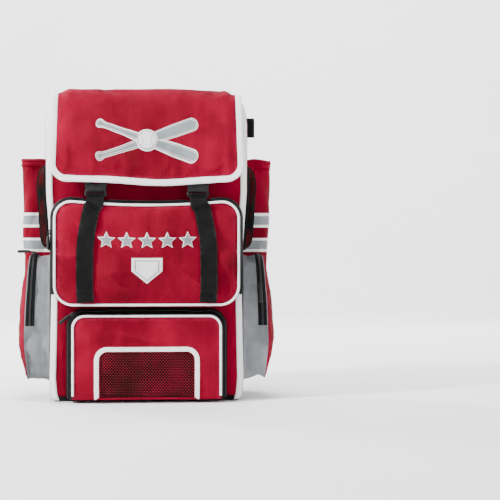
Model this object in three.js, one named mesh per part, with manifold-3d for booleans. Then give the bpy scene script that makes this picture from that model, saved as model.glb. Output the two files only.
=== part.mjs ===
// A baseball bat backpack, zipped and standing on its base: a hollow main body under a padded flap,
// two front pockets, a zipped pocket, a mesh panel and an open bat sleeve on each side, two buckled
// front straps, and on the back two padded shoulder straps, lower webbing and two fence hooks.
// Millimetres, +Z up. The front faces -Y, the bag is centred on X = 0, and the origin is the centre
// of the base's underside. "Left" is -X, which is the left side seen from the front.
import * as THREE from "three";
import { mergeVertices } from "three/addons/utils/BufferGeometryUtils.js";
import Module from "manifold-3d";

const wasm = await Module();
wasm.setup();

// Cloth, tapes and fits
const GAP = 0.3; // between pieces that touch
const CLOTH = 2.4; // lined polyester wall
const MESH_CLOTH = 1.6;
const TAPE = 1.6; // binding tape
const ZIP_TAPE = 1.8;
const PIPING = 4.6; // diameter of the white cord seams
const PIPING_SIDES = 5;
const WEB_WIDTH = 32;
const WEB = 2;
const ARC_STEPS = 3; // flats in a quarter turn
const REACH = 40; // how far a cutting solid runs past what it cuts

// Main body
const BODY_WIDTH = 388;
const BODY_DEPTH = 190;
const BODY_HEIGHT = 575;
const BODY_CORNER = 14;
const BASE_RISE = 10; // height of the base tray's rim
const BASE_FLOOR = 3;
const EDGE_TAPE = 14; // white tape on the front edges
const BACK_TAPE = 16;
const EDGE_WRAP = 6.5; // how far either tape turns onto the side

// Shares of the body's height, width and depth
const BODY_SECTIONS = [
  { z: 0.0, width: 0.925, depth: 0.93 },
  { z: 0.018, width: 0.952, depth: 0.98 },
  { z: 0.075, width: 0.966, depth: 1.0 },
  { z: 0.21, width: 0.957, depth: 1.0 },
  { z: 0.4, width: 0.948, depth: 1.0 },
  { z: 0.54, width: 0.965, depth: 1.0 },
  { z: 0.7, width: 1.0, depth: 1.0 },
  { z: 0.93, width: 1.0, depth: 0.99 },
  { z: 0.975, width: 0.985, depth: 0.97 },
  { z: 1.0, width: 0.955, depth: 0.94 },
  { z: 1.012, width: 0.915, depth: 0.9 },
];

// Flap
const FLAP_WIDTH = BODY_WIDTH - 18;
const FLAP_TOP_WIDTH = FLAP_WIDTH - 14;
const FLAP_THICKNESS = 5;
const FLAP_DROP = 160; // from the rim down the front
const FLAP_CORNER = 34;
const HEM = 13; // width of the white binding
const HEM_THICKNESS = 6.2;

// The flap's middle surface from back to front: y as a share of half the body's depth, and the heights
// over the rim as shares of the flap's drop, along its middle and along its sides
const FLAP_SECTIONS = [
  { y: 0.916, middle: 0.067, side: 0.066 },
  { y: 0.737, middle: 0.097, side: 0.078 },
  { y: 0.421, middle: 0.128, side: 0.085 },
  { y: 0.0, middle: 0.138, side: 0.088 },
  { y: -0.421, middle: 0.134, side: 0.088 },
  { y: -0.758, middle: 0.112, side: 0.086 },
  { y: -0.89, middle: 0.094, side: 0.08 },
  { y: -0.985, middle: 0.059, side: 0.041 },
  { y: -1.063, middle: -0.037, side: -0.062 },
  { y: -1.137, middle: -0.225, side: -0.237 },
  { y: -1.242, middle: -0.5, side: -0.506 },
  { y: -1.337, middle: -0.75, side: -0.744 },
  { y: -1.389, middle: -1.0, side: -0.963 },
];

// Upper front pocket
const UPPER_WIDTH = BODY_WIDTH - 28;
const UPPER_BOTTOM = 180;
const UPPER_FALL = 183; // from the body's rim down to its top edge
const UPPER_HEIGHT = BODY_HEIGHT - UPPER_FALL - UPPER_BOTTOM;
const UPPER_DEPTH = 54;
const UPPER_RADIUS = 42;
const UPPER_DIP = 11; // how far its top edge sags in the middle

// Lower front pocket
const LOWER_WIDTH = 304;
const LOWER_BOTTOM = 4;
const LOWER_DEPTH = 42;
const LOWER_TOP_RADIUS = 34;
const LOWER_BOTTOM_RADIUS = 8;
const LOWER_FOOT = 0.2; // share of the draw-in that its bottom edge takes
const POCKET_SPACE = 3; // between the two front pockets

// Mesh window in the lower pocket
const WINDOW_WIDTH = 181;
const WINDOW_BOTTOM = 9;
const WINDOW_HEIGHT = 89;
const WINDOW_RADIUS = 16;
const WINDOW_TAPE = 9;

// Side pockets, mesh panels and bat sleeves
const SIDE_POCKET_WIDTH = 88;
const SIDE_POCKET_BOTTOM = 38;
const SIDE_POCKET_HEIGHT = 244;
const SIDE_POCKET_DEPTH = 66;
const SIDE_POCKET_TOP_RADIUS = 38;
const SIDE_POCKET_LOW_RADIUS = 20;
const SIDE_ZIP_LOW = 105; // height of the side zip's ends over the pocket's bottom
const SIDE_FRONT = 7; // from the body's front edge to the side pocket
const SLEEVE_BOTTOM = 36;
const SLEEVE_TOP = BODY_HEIGHT - 105;
const SLEEVE_WIDTH = 84;
const SLEEVE_DEPTH = 64;
const SLEEVE_CORNER = 22;
const SLEEVE_BACK = BODY_DEPTH / 2 - 7; // its rear side behind the middle
const PANEL_SPACE = 10; // between the side pocket and the mesh panel above it
const PANEL_HEIGHT = 160;
const PANEL_WIDTH = 84;
const PANEL_DEPTH = 18;
const PANEL_RADIUS = 26;

// Front straps and buckles
const STRAP_OUT = 97; // of a buckle from the middle
const STRAP_SPREAD = 20; // how much farther out the strap runs down the pocket
const BUCKLE_WIDTH = 42;
const BUCKLE_HEIGHT = 26;
const BUCKLE_THICKNESS = 10;
const BUCKLE_BOTTOM = BODY_HEIGHT - 184;
const BUCKLE_CENTRE = 24; // in front of the body
const BUCKLE_BAR = 4;
const BUCKLE_SLOT = 5;
const SLOT_SPARE = 1.5; // of a slot's width over the webbing
const CLIP_HEIGHT = 11; // of the buckle's clip outside its body
const CLIP_THICKNESS = 8;
const CLIP_SLOT = 4;

// Back pads, shoulder straps and lower webbing
const PAD = 9;
const CENTRE_PAD_WIDTH = 154;
const CENTRE_PAD_TOP = BODY_HEIGHT - 82;
const SIDE_PAD_OUT = BODY_WIDTH / 2 - 29; // of its outer edge from the middle
const SIDE_PAD_TOP = BODY_HEIGHT - 80;
const SIDE_PAD_SLANT = 15; // how much lower its top is at the outer edge
const PAD_BOTTOM = 9;
const PAD_SPACE = 5.2; // between pads
const STRAP_THICKNESS = 13;
const STRAP_EDGE = 6;
const STRAP_BOW = 40; // the farthest that the straps stand off the body
const STRAP_TAPER = 130; // height below which the straps thin out
const STRAP_TIP = 0.6; // share of the thickness left at the tips
const BINDING = 13;
const BINDING_THICKNESS = 7.4;
const NECK_TOP = 0.96; // of the body's height, where the two halves' seam ends
const ARCH_TOP = 0.88; // where it starts

// Both halves of the harness from the top down: height as a share of the body's height, inner and outer
// edge as shares of half the body's width, and the distance off the body as a share of the bow
const STRAP_ROWS = [
  { z: 1.023, inner: 0.284, outer: 0.706, out: 0.0 },
  { z: 1.0, inner: 0.227, outer: 0.711, out: 0.05 },
  { z: 0.979, inner: 0.144, outer: 0.714, out: 0.125 },
  { z: 0.965, inner: 0.052, outer: 0.716, out: 0.175 },
  { z: 0.96, inner: 0.0, outer: 0.716, out: 0.188 },
  { z: 0.922, inner: 0.0, outer: 0.719, out: 0.212 },
  { z: 0.88, inner: 0.0, outer: 0.722, out: 0.275 },
  { z: 0.871, inner: 0.072, outer: 0.723, out: 0.338 },
  { z: 0.859, inner: 0.144, outer: 0.725, out: 0.4 },
  { z: 0.842, inner: 0.196, outer: 0.727, out: 0.463 },
  { z: 0.809, inner: 0.232, outer: 0.729, out: 0.6 },
  { z: 0.765, inner: 0.253, outer: 0.732, out: 0.75 },
  { z: 0.696, inner: 0.263, outer: 0.737, out: 0.85 },
  { z: 0.609, inner: 0.271, outer: 0.753, out: 0.925 },
  { z: 0.539, inner: 0.278, outer: 0.778, out: 0.95 },
  { z: 0.452, inner: 0.299, outer: 0.825, out: 0.95 },
  { z: 0.365, inner: 0.34, outer: 0.881, out: 0.9 },
  { z: 0.287, inner: 0.397, outer: 0.928, out: 0.825 },
  { z: 0.226, inner: 0.464, outer: 0.948, out: 0.75 },
  { z: 0.183, inner: 0.536, outer: 0.938, out: 0.675 },
  { z: 0.157, inner: 0.598, outer: 0.907, out: 0.625 },
  { z: 0.139, inner: 0.66, outer: 0.856, out: 0.575 },
];

// Ladder locks and their webbing
const LOCK_OUT = BODY_WIDTH / 2 - 48;
const LOCK_TOP = 98;
const LOCK_CENTRE = BODY_DEPTH / 2 + STRAP_BOW; // behind the bag's middle
const LOCK_WIDTH = 43;
const LOCK_HEIGHT = 40;
const LOCK_THICKNESS = 5;
const LOCK_BAR = 4.4;
const ANCHOR_TOP = 160;
const TAIL_END = 38; // height of the free end of the lower webbing
const SLACK_REACH = LOCK_CENTRE + 40; // how far behind the middle the lower webbing lies

// Fence hooks and side loop
const HOOK_OUT = BODY_WIDTH / 2 - 34;
const HOOK_TOP = BODY_HEIGHT - 9;
const HOOK_CENTRE = BODY_DEPTH / 2 + 10.5; // behind the bag's middle
const HOOK_HEIGHT = 80;
const HOOK_THICKNESS = 7;
const HOOK_HEAD = 38; // width of the hook's head
const HOOK_BAR = 4.5;
const HOOK_SLOT = 6.5;
const HOOK_TAB = 30;
const HOOK_LEAN = 12; // degrees
const LOOP_WIDTH = 40; // upright
const LOOP_REACH = 24;
const LOOP_MIDDLE = BODY_HEIGHT - 35;
const LOOP_CENTRE = 66;
const LOOP_LEAN = 4; // how far its outer end lies behind its root

// Middle line of the hook below its head, as shares of its height, and its widths
const HOOK_ROWS = [
  { across: 0.0, down: 0.15, width: 0.425 },
  { across: -0.075, down: 0.3, width: 0.25 },
  { across: -0.087, down: 0.45, width: 0.212 },
  { across: -0.05, down: 0.662, width: 0.15 },
  { across: 0.075, down: 0.85, width: 0.125 },
  { across: 0.25, down: 0.938, width: 0.125 },
  { across: 0.375, down: 0.825, width: 0.113 },
  { across: 0.35, down: 0.7, width: 0.1 },
];

// Zip sliders and pulls
const SLIDER_LENGTH = 13;
const SLIDER_WIDTH = 9;
const SLIDER_THICKNESS = 4.5;
const PULL_LENGTH = 36;
const PULL_WIDTH = 5;
const PULL_THICKNESS = 3;

const FINISHES = {
  red_cloth: new THREE.MeshStandardMaterial({ color: 0xb5173a, roughness: 0.72 }),
  white_tape: new THREE.MeshStandardMaterial({ color: 0xf2f2f0, roughness: 0.6 }),
  grey_cloth: new THREE.MeshStandardMaterial({ color: 0x9b9da0, roughness: 0.7 }),
  black_mesh: new THREE.MeshStandardMaterial({ color: 0x161616, roughness: 0.85 }),
  black_pad: new THREE.MeshStandardMaterial({ color: 0x262626, roughness: 0.85 }),
  black_webbing: new THREE.MeshStandardMaterial({ color: 0x1d1d1d, roughness: 0.75 }),
  black_plastic: new THREE.MeshStandardMaterial({ color: 0x232323, roughness: 0.45 }),
  black_zip: new THREE.MeshStandardMaterial({ color: 0x1a1a1a, roughness: 0.7 }),
  base_cloth: new THREE.MeshStandardMaterial({ color: 0x151515, roughness: 0.65 }),
};

const bag = new THREE.Group();
const vector = (x, y, z) => new THREE.Vector3(x, y, z);
const ACROSS = vector(1, 0, 0);
const DEEP = vector(0, 1, 0);
const UPWARD = vector(0, 0, 1);
const SIDES = [
  ["left", -1],
  ["right", 1],
];

// A solid from points and triangles, turned to face out
function solidFrom(points, triangles) {
  const volume = triangles.reduce(
    (sum, [a, b, c]) => sum + points[a].dot(vector(0, 0, 0).crossVectors(points[b], points[c])),
    0,
  );
  const faces = volume < 0 ? triangles.map(([a, b, c]) => [a, c, b]) : triangles;
  return new wasm.Manifold(
    new wasm.Mesh({
      numProp: 3,
      vertProperties: new Float32Array(points.flatMap((p) => [p.x, p.y, p.z])),
      triVerts: new Uint32Array(faces.flat()),
    }),
  );
}

// A solid from a three.js geometry
function solidOf(geometry) {
  geometry.deleteAttribute("normal");
  geometry.deleteAttribute("uv");
  const merged = mergeVertices(geometry, 1e-4);
  return new wasm.Manifold(
    new wasm.Mesh({
      numProp: 3,
      vertProperties: merged.attributes.position.array,
      triVerts: new Uint32Array(merged.index.array),
    }),
  );
}

// Adds a solid to the bag as a named mesh
function add(name, solid, finish) {
  const made = solid.getMesh();
  const geometry = new THREE.BufferGeometry();
  geometry.setAttribute("position", new THREE.BufferAttribute(made.vertProperties, made.numProp));
  geometry.setIndex(new THREE.BufferAttribute(made.triVerts, 1));
  geometry.computeVertexNormals();
  const mesh = new THREE.Mesh(geometry, FINISHES[finish]);
  mesh.name = name;
  bag.add(mesh);
  return mesh;
}

// A box between two corners
function block(x0, x1, y0, y1, z0, z1) {
  const geometry = new THREE.BoxGeometry(x1 - x0, y1 - y0, z1 - z0);
  return solidOf(geometry.translate((x0 + x1) / 2, (y0 + y1) / 2, (z0 + z1) / 2));
}

// A closed solid through rings of points, each a convex loop of the same length
function loft(rings, closed = false) {
  const count = rings[0].length;
  const spans = closed ? rings.length : rings.length - 1;
  const triangles = [];
  for (let r = 0; r < spans; r++) {
    const here = r * count;
    const next = ((r + 1) % rings.length) * count;
    for (let i = 0; i < count; i++) {
      const j = (i + 1) % count;
      triangles.push([here + i, here + j, next + j], [here + i, next + j, next + i]);
    }
  }
  if (!closed) {
    const last = (rings.length - 1) * count;
    for (let i = 1; i + 1 < count; i++) {
      triangles.push([0, i + 1, i], [last, last + i, last + i + 1]);
    }
  }
  return solidFrom(rings.flat(), triangles);
}

// A sheet of cloth from a grid of points on its middle surface; thickness is a function of row and column
function sheet(grid, thickness) {
  const rows = grid.length;
  const columns = grid[0].length;
  const faces = grid.map((row, r) =>
    row.map((point, c) => {
      const across = row[Math.min(c + 1, columns - 1)].clone().sub(row[Math.max(c - 1, 0)]);
      const along = grid[Math.min(r + 1, rows - 1)][c].clone().sub(grid[Math.max(r - 1, 0)][c]);
      const lift = across.cross(along).setLength(thickness(r, c) / 2);
      return [point.clone().add(lift), point.clone().sub(lift)];
    }),
  );
  const points = [...faces.flat().map((f) => f[0]), ...faces.flat().map((f) => f[1])];
  const back = rows * columns;
  const triangles = [];
  const quad = (a, b, c, d) => triangles.push([a, b, c], [a, c, d]);
  const at = (r, c) => r * columns + c;
  for (let r = 0; r + 1 < rows; r++) {
    for (let c = 0; c + 1 < columns; c++) {
      quad(at(r, c), at(r, c + 1), at(r + 1, c + 1), at(r + 1, c));
      quad(back + at(r, c), back + at(r + 1, c), back + at(r + 1, c + 1), back + at(r, c + 1));
    }
  }
  const rim = [];
  for (let c = 0; c < columns - 1; c++) rim.push(at(0, c));
  for (let r = 0; r < rows - 1; r++) rim.push(at(r, columns - 1));
  for (let c = columns - 1; c > 0; c--) rim.push(at(rows - 1, c));
  for (let r = rows - 1; r > 0; r--) rim.push(at(r, 0));
  rim.forEach((a, i) => {
    const b = rim[(i + 1) % rim.length];
    quad(b, a, back + a, back + b);
  });
  return solidFrom(points, triangles);
}

// Webbing along a list of points; across is the direction of its width
function webbing(points, across, width = WEB_WIDTH, thickness = WEB) {
  const rings = points.map((point, i) => {
    const before = points[Math.max(i - 1, 0)];
    const after = points[Math.min(i + 1, points.length - 1)];
    const tangent = after.clone().sub(before).normalize();
    const side = across.clone().addScaledVector(tangent, -across.dot(tangent));
    side.setLength(width / 2);
    const lift = tangent.clone().cross(side).setLength(thickness / 2);
    return [
      point.clone().add(side).add(lift),
      point.clone().sub(side).add(lift),
      point.clone().sub(side).sub(lift),
      point.clone().add(side).sub(lift),
    ];
  });
  return loft(rings);
}

// Tape laid on a surface along a path of [a, b] places; surface(a, b) gives a point and its normal
function tape(surface, path, width, thickness) {
  const rings = path.map(([a, b], i) => {
    const [a0, b0] = path[Math.max(i - 1, 0)];
    const [a1, b1] = path[Math.min(i + 1, path.length - 1)];
    const length = Math.hypot(a1 - a0, b1 - b0);
    const da = (-(b1 - b0) / length) * (width / 2);
    const db = ((a1 - a0) / length) * (width / 2);
    const left = surface(a + da, b + db);
    const right = surface(a - da, b - db);
    const lift = surface(a, b).normal.clone().setLength(thickness / 2);
    return [
      left.point.clone().add(lift),
      right.point.clone().add(lift),
      right.point.clone().sub(lift),
      left.point.clone().sub(lift),
    ];
  });
  return loft(rings);
}

// A round cord through points, open or as a closed hoop
function cord(points, diameter, facing, closed = false) {
  const rings = points.map((point, i) => {
    const before = closed ? points.at(i - 1) : points[Math.max(i - 1, 0)];
    const after = closed ? points[(i + 1) % points.length] : points[Math.min(i + 1, points.length - 1)];
    const tangent = after.clone().sub(before).normalize();
    const side = facing.clone().cross(tangent).normalize();
    const up = tangent.clone().cross(side);
    return Array.from({ length: PIPING_SIDES }, (_, k) => {
      const turn = (2 * Math.PI * (k + 0.5)) / PIPING_SIDES;
      const radius = diameter / 2;
      return point
        .clone()
        .addScaledVector(side, radius * Math.cos(turn))
        .addScaledVector(up, radius * Math.sin(turn));
    });
  });
  return loft(rings, closed);
}

// A smooth run of points through a few, with a number of spans
const smooth = (points, spans) =>
  new THREE.CatmullRomCurve3(points, false, "centripetal").getSpacedPoints(spans);

// The outline of a rounded rectangle as [u, v] points, with its own radius for the low and for the high
// corners, and points between along its top edge
function roundedOutline(u0, u1, v0, v1, low, high, between = 0) {
  const corners = [
    { u: u1 - low, v: v0 + low, radius: low, start: -90 },
    { u: u1 - high, v: v1 - high, radius: high, start: 0 },
    { u: u0 + high, v: v1 - high, radius: high, start: 90 },
    { u: u0 + low, v: v0 + low, radius: low, start: 180 },
  ];
  const arcs = corners.map(({ u, v, radius, start }) =>
    Array.from({ length: ARC_STEPS + 1 }, (_, k) => {
      const turn = THREE.MathUtils.degToRad(start + (90 * k) / ARC_STEPS);
      return [u + radius * Math.cos(turn), v + radius * Math.sin(turn)];
    }),
  );
  const top = Array.from({ length: between }, (_, k) => [
    THREE.MathUtils.lerp(u1 - high, u0 + high, (k + 1) / (between + 1)),
    v1,
  ]);
  return [...arcs[0], ...arcs[1], ...top, ...arcs[2], ...arcs[3]];
}

// The value of a column at a place, by straight lines between a table's rows
function lookUp(rows, key, place, column) {
  const end = rows.at(-1);
  if (place >= end[key]) return end[column];
  if (place <= rows[0][key]) return rows[0][column];
  const next = rows.findIndex((row) => row[key] > place);
  const share = (place - rows[next - 1][key]) / (rows[next][key] - rows[next - 1][key]);
  return THREE.MathUtils.lerp(rows[next - 1][column], rows[next][column], share);
}

// Main body: sizes at a height, and its filled form grown by an offset between two heights
const bodyHalf = (z) => (BODY_WIDTH / 2) * lookUp(BODY_SECTIONS, "z", z / BODY_HEIGHT, "width");
const bodyBack = (z) => (BODY_DEPTH / 2) * lookUp(BODY_SECTIONS, "z", z / BODY_HEIGHT, "depth");

function bodyHeights(from, to) {
  const between = BODY_SECTIONS.map((row) => row.z * BODY_HEIGHT).filter((z) => z > from + 1 && z < to - 1);
  return [from, ...between, to];
}

function bodyVolume(offset, from, to) {
  const rings = bodyHeights(from, to).map((z) => {
    const half = bodyHalf(z) + offset;
    const back = bodyBack(z) + offset;
    const corner = BODY_CORNER + offset;
    return roundedOutline(-half, half, -back, back, corner, corner).map(([x, y]) => vector(x, y, z));
  });
  return loft(rings);
}

const bodyTop = BODY_HEIGHT * BODY_SECTIONS.at(-1).z;
const bodyRoom = bodyVolume(GAP, -REACH, bodyTop);

const baseTray = bodyVolume(0, 0, BASE_RISE).subtract(
  bodyVolume(-CLOTH, BASE_FLOOR, BASE_RISE + REACH),
);
add("base_tray", baseTray, "base_cloth");

const bodyShell = bodyVolume(0, BASE_RISE + GAP, bodyTop).subtract(
  bodyVolume(-CLOTH, -REACH, bodyTop + REACH),
);
add("main_body", bodyShell, "red_cloth");

// A tape that wraps one upright edge of the body: side is -1 or 1 in X, end is -1 for the front and 1
// for the back
function edgeTape(side, end, width, from, to) {
  const prism = loft(
    bodyHeights(from, to).map((z) => {
      const half = bodyHalf(z);
      const back = bodyBack(z);
      const xs = [half - width, half + REACH];
      const ys = [back - EDGE_WRAP, back + REACH];
      return [
        vector(side * xs[0], end * ys[0], z),
        vector(side * xs[1], end * ys[0], z),
        vector(side * xs[1], end * ys[1], z),
        vector(side * xs[0], end * ys[1], z),
      ];
    }),
  );
  const layer = bodyVolume(GAP + TAPE, from, to).subtract(bodyVolume(GAP, from - REACH, to + REACH));
  return layer.intersect(prism);
}

const EVEN = [
  { v: 0, share: 1 },
  { v: 1, share: 1 },
];

// A bulged pocket that grows out from a seat. u and v are its own width and height directions, and
// place(u, v, w) turns them and the distance w from the seat into a point of the bag.
// Each row gives a distance out as a share of the depth, and how far the outline has drawn in as a
// share of half the pocket's smaller side; foot is the share of this that the bottom edge takes.
// swell gives the share of the depth at a share of the height.
function pouch({ u0, u1, v0, v1, low, high, depth, rows, foot = 1, swell = EVEN, between = 0, place }) {
  const half = Math.min(u1 - u0, v1 - v0) / 2;
  const sink = -REACH / 2 / depth;
  const least = 4;
  const drawn = (out) => lookUp(rows, "out", out, "inset") * half;
  const ring = (out, offset, forward = offset) => {
    const inset = drawn(out) - offset;
    const outline = roundedOutline(
      u0 + inset,
      u1 - inset,
      v0 + drawn(out) * foot - offset,
      v1 - inset,
      Math.max(low - inset, least),
      Math.max(high - inset, least),
      between,
    );
    return outline.map(([u, v]) => {
      const share = lookUp(swell, "v", (v - v0) / (v1 - v0), "share");
      return place(u, v, out > 0 ? out * depth * share + forward : out * depth);
    });
  };
  const slab = (offset, from, to, forward) => {
    const inner = rows.map((row) => row.out).filter((out) => out > from + 0.01 && out < to - 0.01);
    return loft([from, ...inner, to].map((out) => ring(out, offset, forward)));
  };
  const whole = rows.at(-1).out;
  const volume = (offset) => slab(offset, sink, whole);
  const shell = (wall) => volume(0).subtract(volume(-wall)).subtract(bodyRoom);
  const band = (from, to, thickness) =>
    slab(GAP + thickness, from, to).subtract(volume(GAP)).subtract(bodyRoom);
  const seam = (out, diameter) => {
    const standOff = (GAP + diameter / 2) * Math.SQRT1_2;
    const line = ring(out, standOff);
    const facing = place(0, 0, 1).sub(place(0, 0, 0));
    return cord(line, diameter, facing, true).subtract(volume(GAP));
  };
  return { slab, volume, shell, band, seam, drawn };
}

const frontSeat = BODY_DEPTH / 2;
const onFront = (u, v, w) => vector(u, -frontSeat - w, v);

// Upper front pocket
const UPPER_ROWS = [
  { out: -1, inset: 0.0 },
  { out: 0.1, inset: 0.0 },
  { out: 0.6, inset: 0.03 },
  { out: 0.86, inset: 0.065 },
  { out: 0.97, inset: 0.11 },
  { out: 1.06, inset: 0.28 },
  { out: 1.15, inset: 0.7 },
];
const UPPER_ZIP = { from: 0.2, to: 0.8 };
const upperTop = UPPER_BOTTOM + UPPER_HEIGHT;

// On the front, sagging toward the middle of the pocket's top edge
function onUpperFront(u, v, w) {
  const height = Math.max((v - UPPER_BOTTOM) / UPPER_HEIGHT, 0);
  const middle = 1 - Math.min(Math.abs(u) / (UPPER_WIDTH / 2), 1) ** 2;
  return onFront(u, v - UPPER_DIP * height * middle, w);
}

const upper = pouch({
  u0: -UPPER_WIDTH / 2,
  u1: UPPER_WIDTH / 2,
  v0: UPPER_BOTTOM,
  v1: upperTop,
  low: UPPER_RADIUS,
  high: UPPER_RADIUS,
  depth: UPPER_DEPTH,
  rows: UPPER_ROWS,
  between: 5,
  place: onUpperFront,
});
const aboveSeam = (z) => block(-BODY_WIDTH, BODY_WIDTH, -BODY_WIDTH, BODY_WIDTH, z, BODY_HEIGHT + REACH);
const upperPocket = add("upper_pocket", upper.shell(CLOTH), "red_cloth");
add("upper_pocket_piping", upper.seam(0.9, PIPING), "white_tape");
const upperZip = upper
  .band(UPPER_ZIP.from, UPPER_ZIP.to, ZIP_TAPE)
  .intersect(aboveSeam(UPPER_BOTTOM + UPPER_RADIUS * 0.6));
add("upper_zip", upperZip, "black_zip");

// Lower front pocket with its mesh window
const LOWER_ROWS = [
  { out: -1, inset: 0.0 },
  { out: 0.05, inset: 0.0 },
  { out: 0.8, inset: 0.14 },
  { out: 0.96, inset: 0.2 },
  { out: 1.04, inset: 0.4 },
  { out: 1.1, inset: 0.75 },
];
const LOWER_ZIP = { from: 0.12, to: 0.72 };
const lowerTop = UPPER_BOTTOM - POCKET_SPACE;
const lower = pouch({
  u0: -LOWER_WIDTH / 2,
  u1: LOWER_WIDTH / 2,
  v0: LOWER_BOTTOM,
  v1: lowerTop,
  low: LOWER_BOTTOM_RADIUS,
  high: LOWER_TOP_RADIUS,
  depth: LOWER_DEPTH,
  rows: LOWER_ROWS,
  foot: LOWER_FOOT,
  place: onFront,
});

// An upright prism through the pocket's front with rounded upper corners, wider than the window by a
// margin all round and lower by a drop
function windowPrism(margin, drop) {
  const half = WINDOW_WIDTH / 2 + margin;
  const top = WINDOW_BOTTOM + WINDOW_HEIGHT + margin;
  const ring = (y) =>
    roundedOutline(-half, half, WINDOW_BOTTOM - drop, top, 1, WINDOW_RADIUS + margin).map(([x, z]) =>
      vector(x, y, z),
    );
  return loft([ring(-frontSeat - LOWER_DEPTH / 2), ring(-frontSeat - LOWER_DEPTH - REACH)]);
}

const onUpper = upper.volume(GAP);
const onLower = lower.volume(GAP);
const windowTapeRoom = windowPrism(WINDOW_TAPE + GAP, GAP);
add("lower_pocket", lower.shell(CLOTH).subtract(windowPrism(0, 0)), "red_cloth");
const lowerSeam = lower.seam(0.86, PIPING).subtract(onUpper).subtract(windowTapeRoom);
add("lower_pocket_piping", lowerSeam, "white_tape");
const zipSpan = block(-BODY_WIDTH, BODY_WIDTH, -BODY_WIDTH, 0, LOWER_BOTTOM + 3, lowerTop - GAP);
const lowerZip = lower.band(LOWER_ZIP.from, LOWER_ZIP.to, ZIP_TAPE);
add("lower_zip", lowerZip.intersect(zipSpan).subtract(onUpper), "black_zip");
const windowNet = lower.volume(0).subtract(lower.volume(-MESH_CLOTH));
add("window_mesh", windowNet.intersect(windowPrism(-GAP, -GAP)), "black_mesh");
const windowTape = lower.volume(GAP + TAPE).subtract(onLower);
const windowFrame = windowPrism(WINDOW_TAPE, 0).subtract(windowPrism(0, REACH));
add("window_tape", windowTape.intersect(windowFrame), "white_tape");

// White tapes on the body's upright edges
const EDGE_BOTTOM = 2;
const EDGE_TOP = BODY_HEIGHT - 12;
for (const [word, side] of SIDES) {
  const front = edgeTape(side, -1, EDGE_TAPE, EDGE_BOTTOM, EDGE_TOP).subtract(onUpper);
  add(`front_edge_tape_${word}`, front, "white_tape");
  add(`back_edge_tape_${word}`, edgeTape(side, 1, BACK_TAPE, EDGE_BOTTOM, EDGE_TOP), "white_tape");
}

// Side pockets: a grey gusset with a zip arched over it, and a red face outside
const SIDE_SWELL = [
  { v: 0.0, share: 0.84 },
  { v: 0.28, share: 1.0 },
  { v: 0.6, share: 0.95 },
  { v: 1.0, share: 0.8 },
];
const SIDE_ROWS = [
  { out: -1, inset: 0.0 },
  { out: 0.1, inset: 0.0 },
  { out: 0.79, inset: 0.06 },
  { out: 0.92, inset: 0.18 },
  { out: 1.0, inset: 0.55 },
];
const SIDE_FACE_FROM = 0.79;
const SIDE_ZIP = { from: 0.48, to: 0.75 };
const sideSeat = (BODY_WIDTH / 2) * 0.95;
const sideFront = -BODY_DEPTH / 2 + SIDE_FRONT;
const onSide = (side) => (u, v, w) => vector(side * (sideSeat + w), u, v);
const sideTop = SIDE_POCKET_BOTTOM + SIDE_POCKET_HEIGHT;

for (const [word, side] of SIDES) {
  const pocket = pouch({
    u0: sideFront,
    u1: sideFront + SIDE_POCKET_WIDTH,
    v0: SIDE_POCKET_BOTTOM,
    v1: sideTop,
    low: SIDE_POCKET_LOW_RADIUS,
    high: SIDE_POCKET_TOP_RADIUS,
    depth: SIDE_POCKET_DEPTH,
    rows: SIDE_ROWS,
    swell: SIDE_SWELL,
    place: onSide(side),
  });
  const shell = pocket.shell(CLOTH);
  const inside = pocket.slab(REACH, -1, SIDE_FACE_FROM, 0);
  const outside = pocket.slab(REACH, -1, SIDE_FACE_FROM, GAP);
  add(`side_pocket_gusset_${word}`, shell.intersect(inside), "grey_cloth");
  add(`side_pocket_face_${word}`, shell.subtract(outside), "red_cloth");
  const zip = pocket.band(SIDE_ZIP.from, SIDE_ZIP.to, ZIP_TAPE);
  const zipFloor = SIDE_POCKET_BOTTOM + SIDE_ZIP_LOW;
  const upperHalf = block(-BODY_WIDTH, BODY_WIDTH, -BODY_WIDTH, BODY_WIDTH, zipFloor, BODY_HEIGHT);
  add(`side_pocket_zip_${word}`, zip.intersect(upperHalf), "black_zip");
}

// Mesh panels above the side pockets
const PANEL_ROWS = [
  { out: -1, inset: 0.0 },
  { out: 0.6, inset: 0.1 },
  { out: 1.0, inset: 0.55 },
];
for (const [word, side] of SIDES) {
  const panel = pouch({
    u0: sideFront,
    u1: sideFront + PANEL_WIDTH,
    v0: sideTop + PANEL_SPACE,
    v1: sideTop + PANEL_SPACE + PANEL_HEIGHT,
    low: PANEL_RADIUS / 4,
    high: PANEL_RADIUS,
    depth: PANEL_DEPTH,
    rows: PANEL_ROWS,
    place: (u, v, w) => vector(side * (bodyHalf(v) + w), u, v),
  });
  add(`side_mesh_${word}`, panel.shell(MESH_CLOTH), "black_mesh");
}

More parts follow.
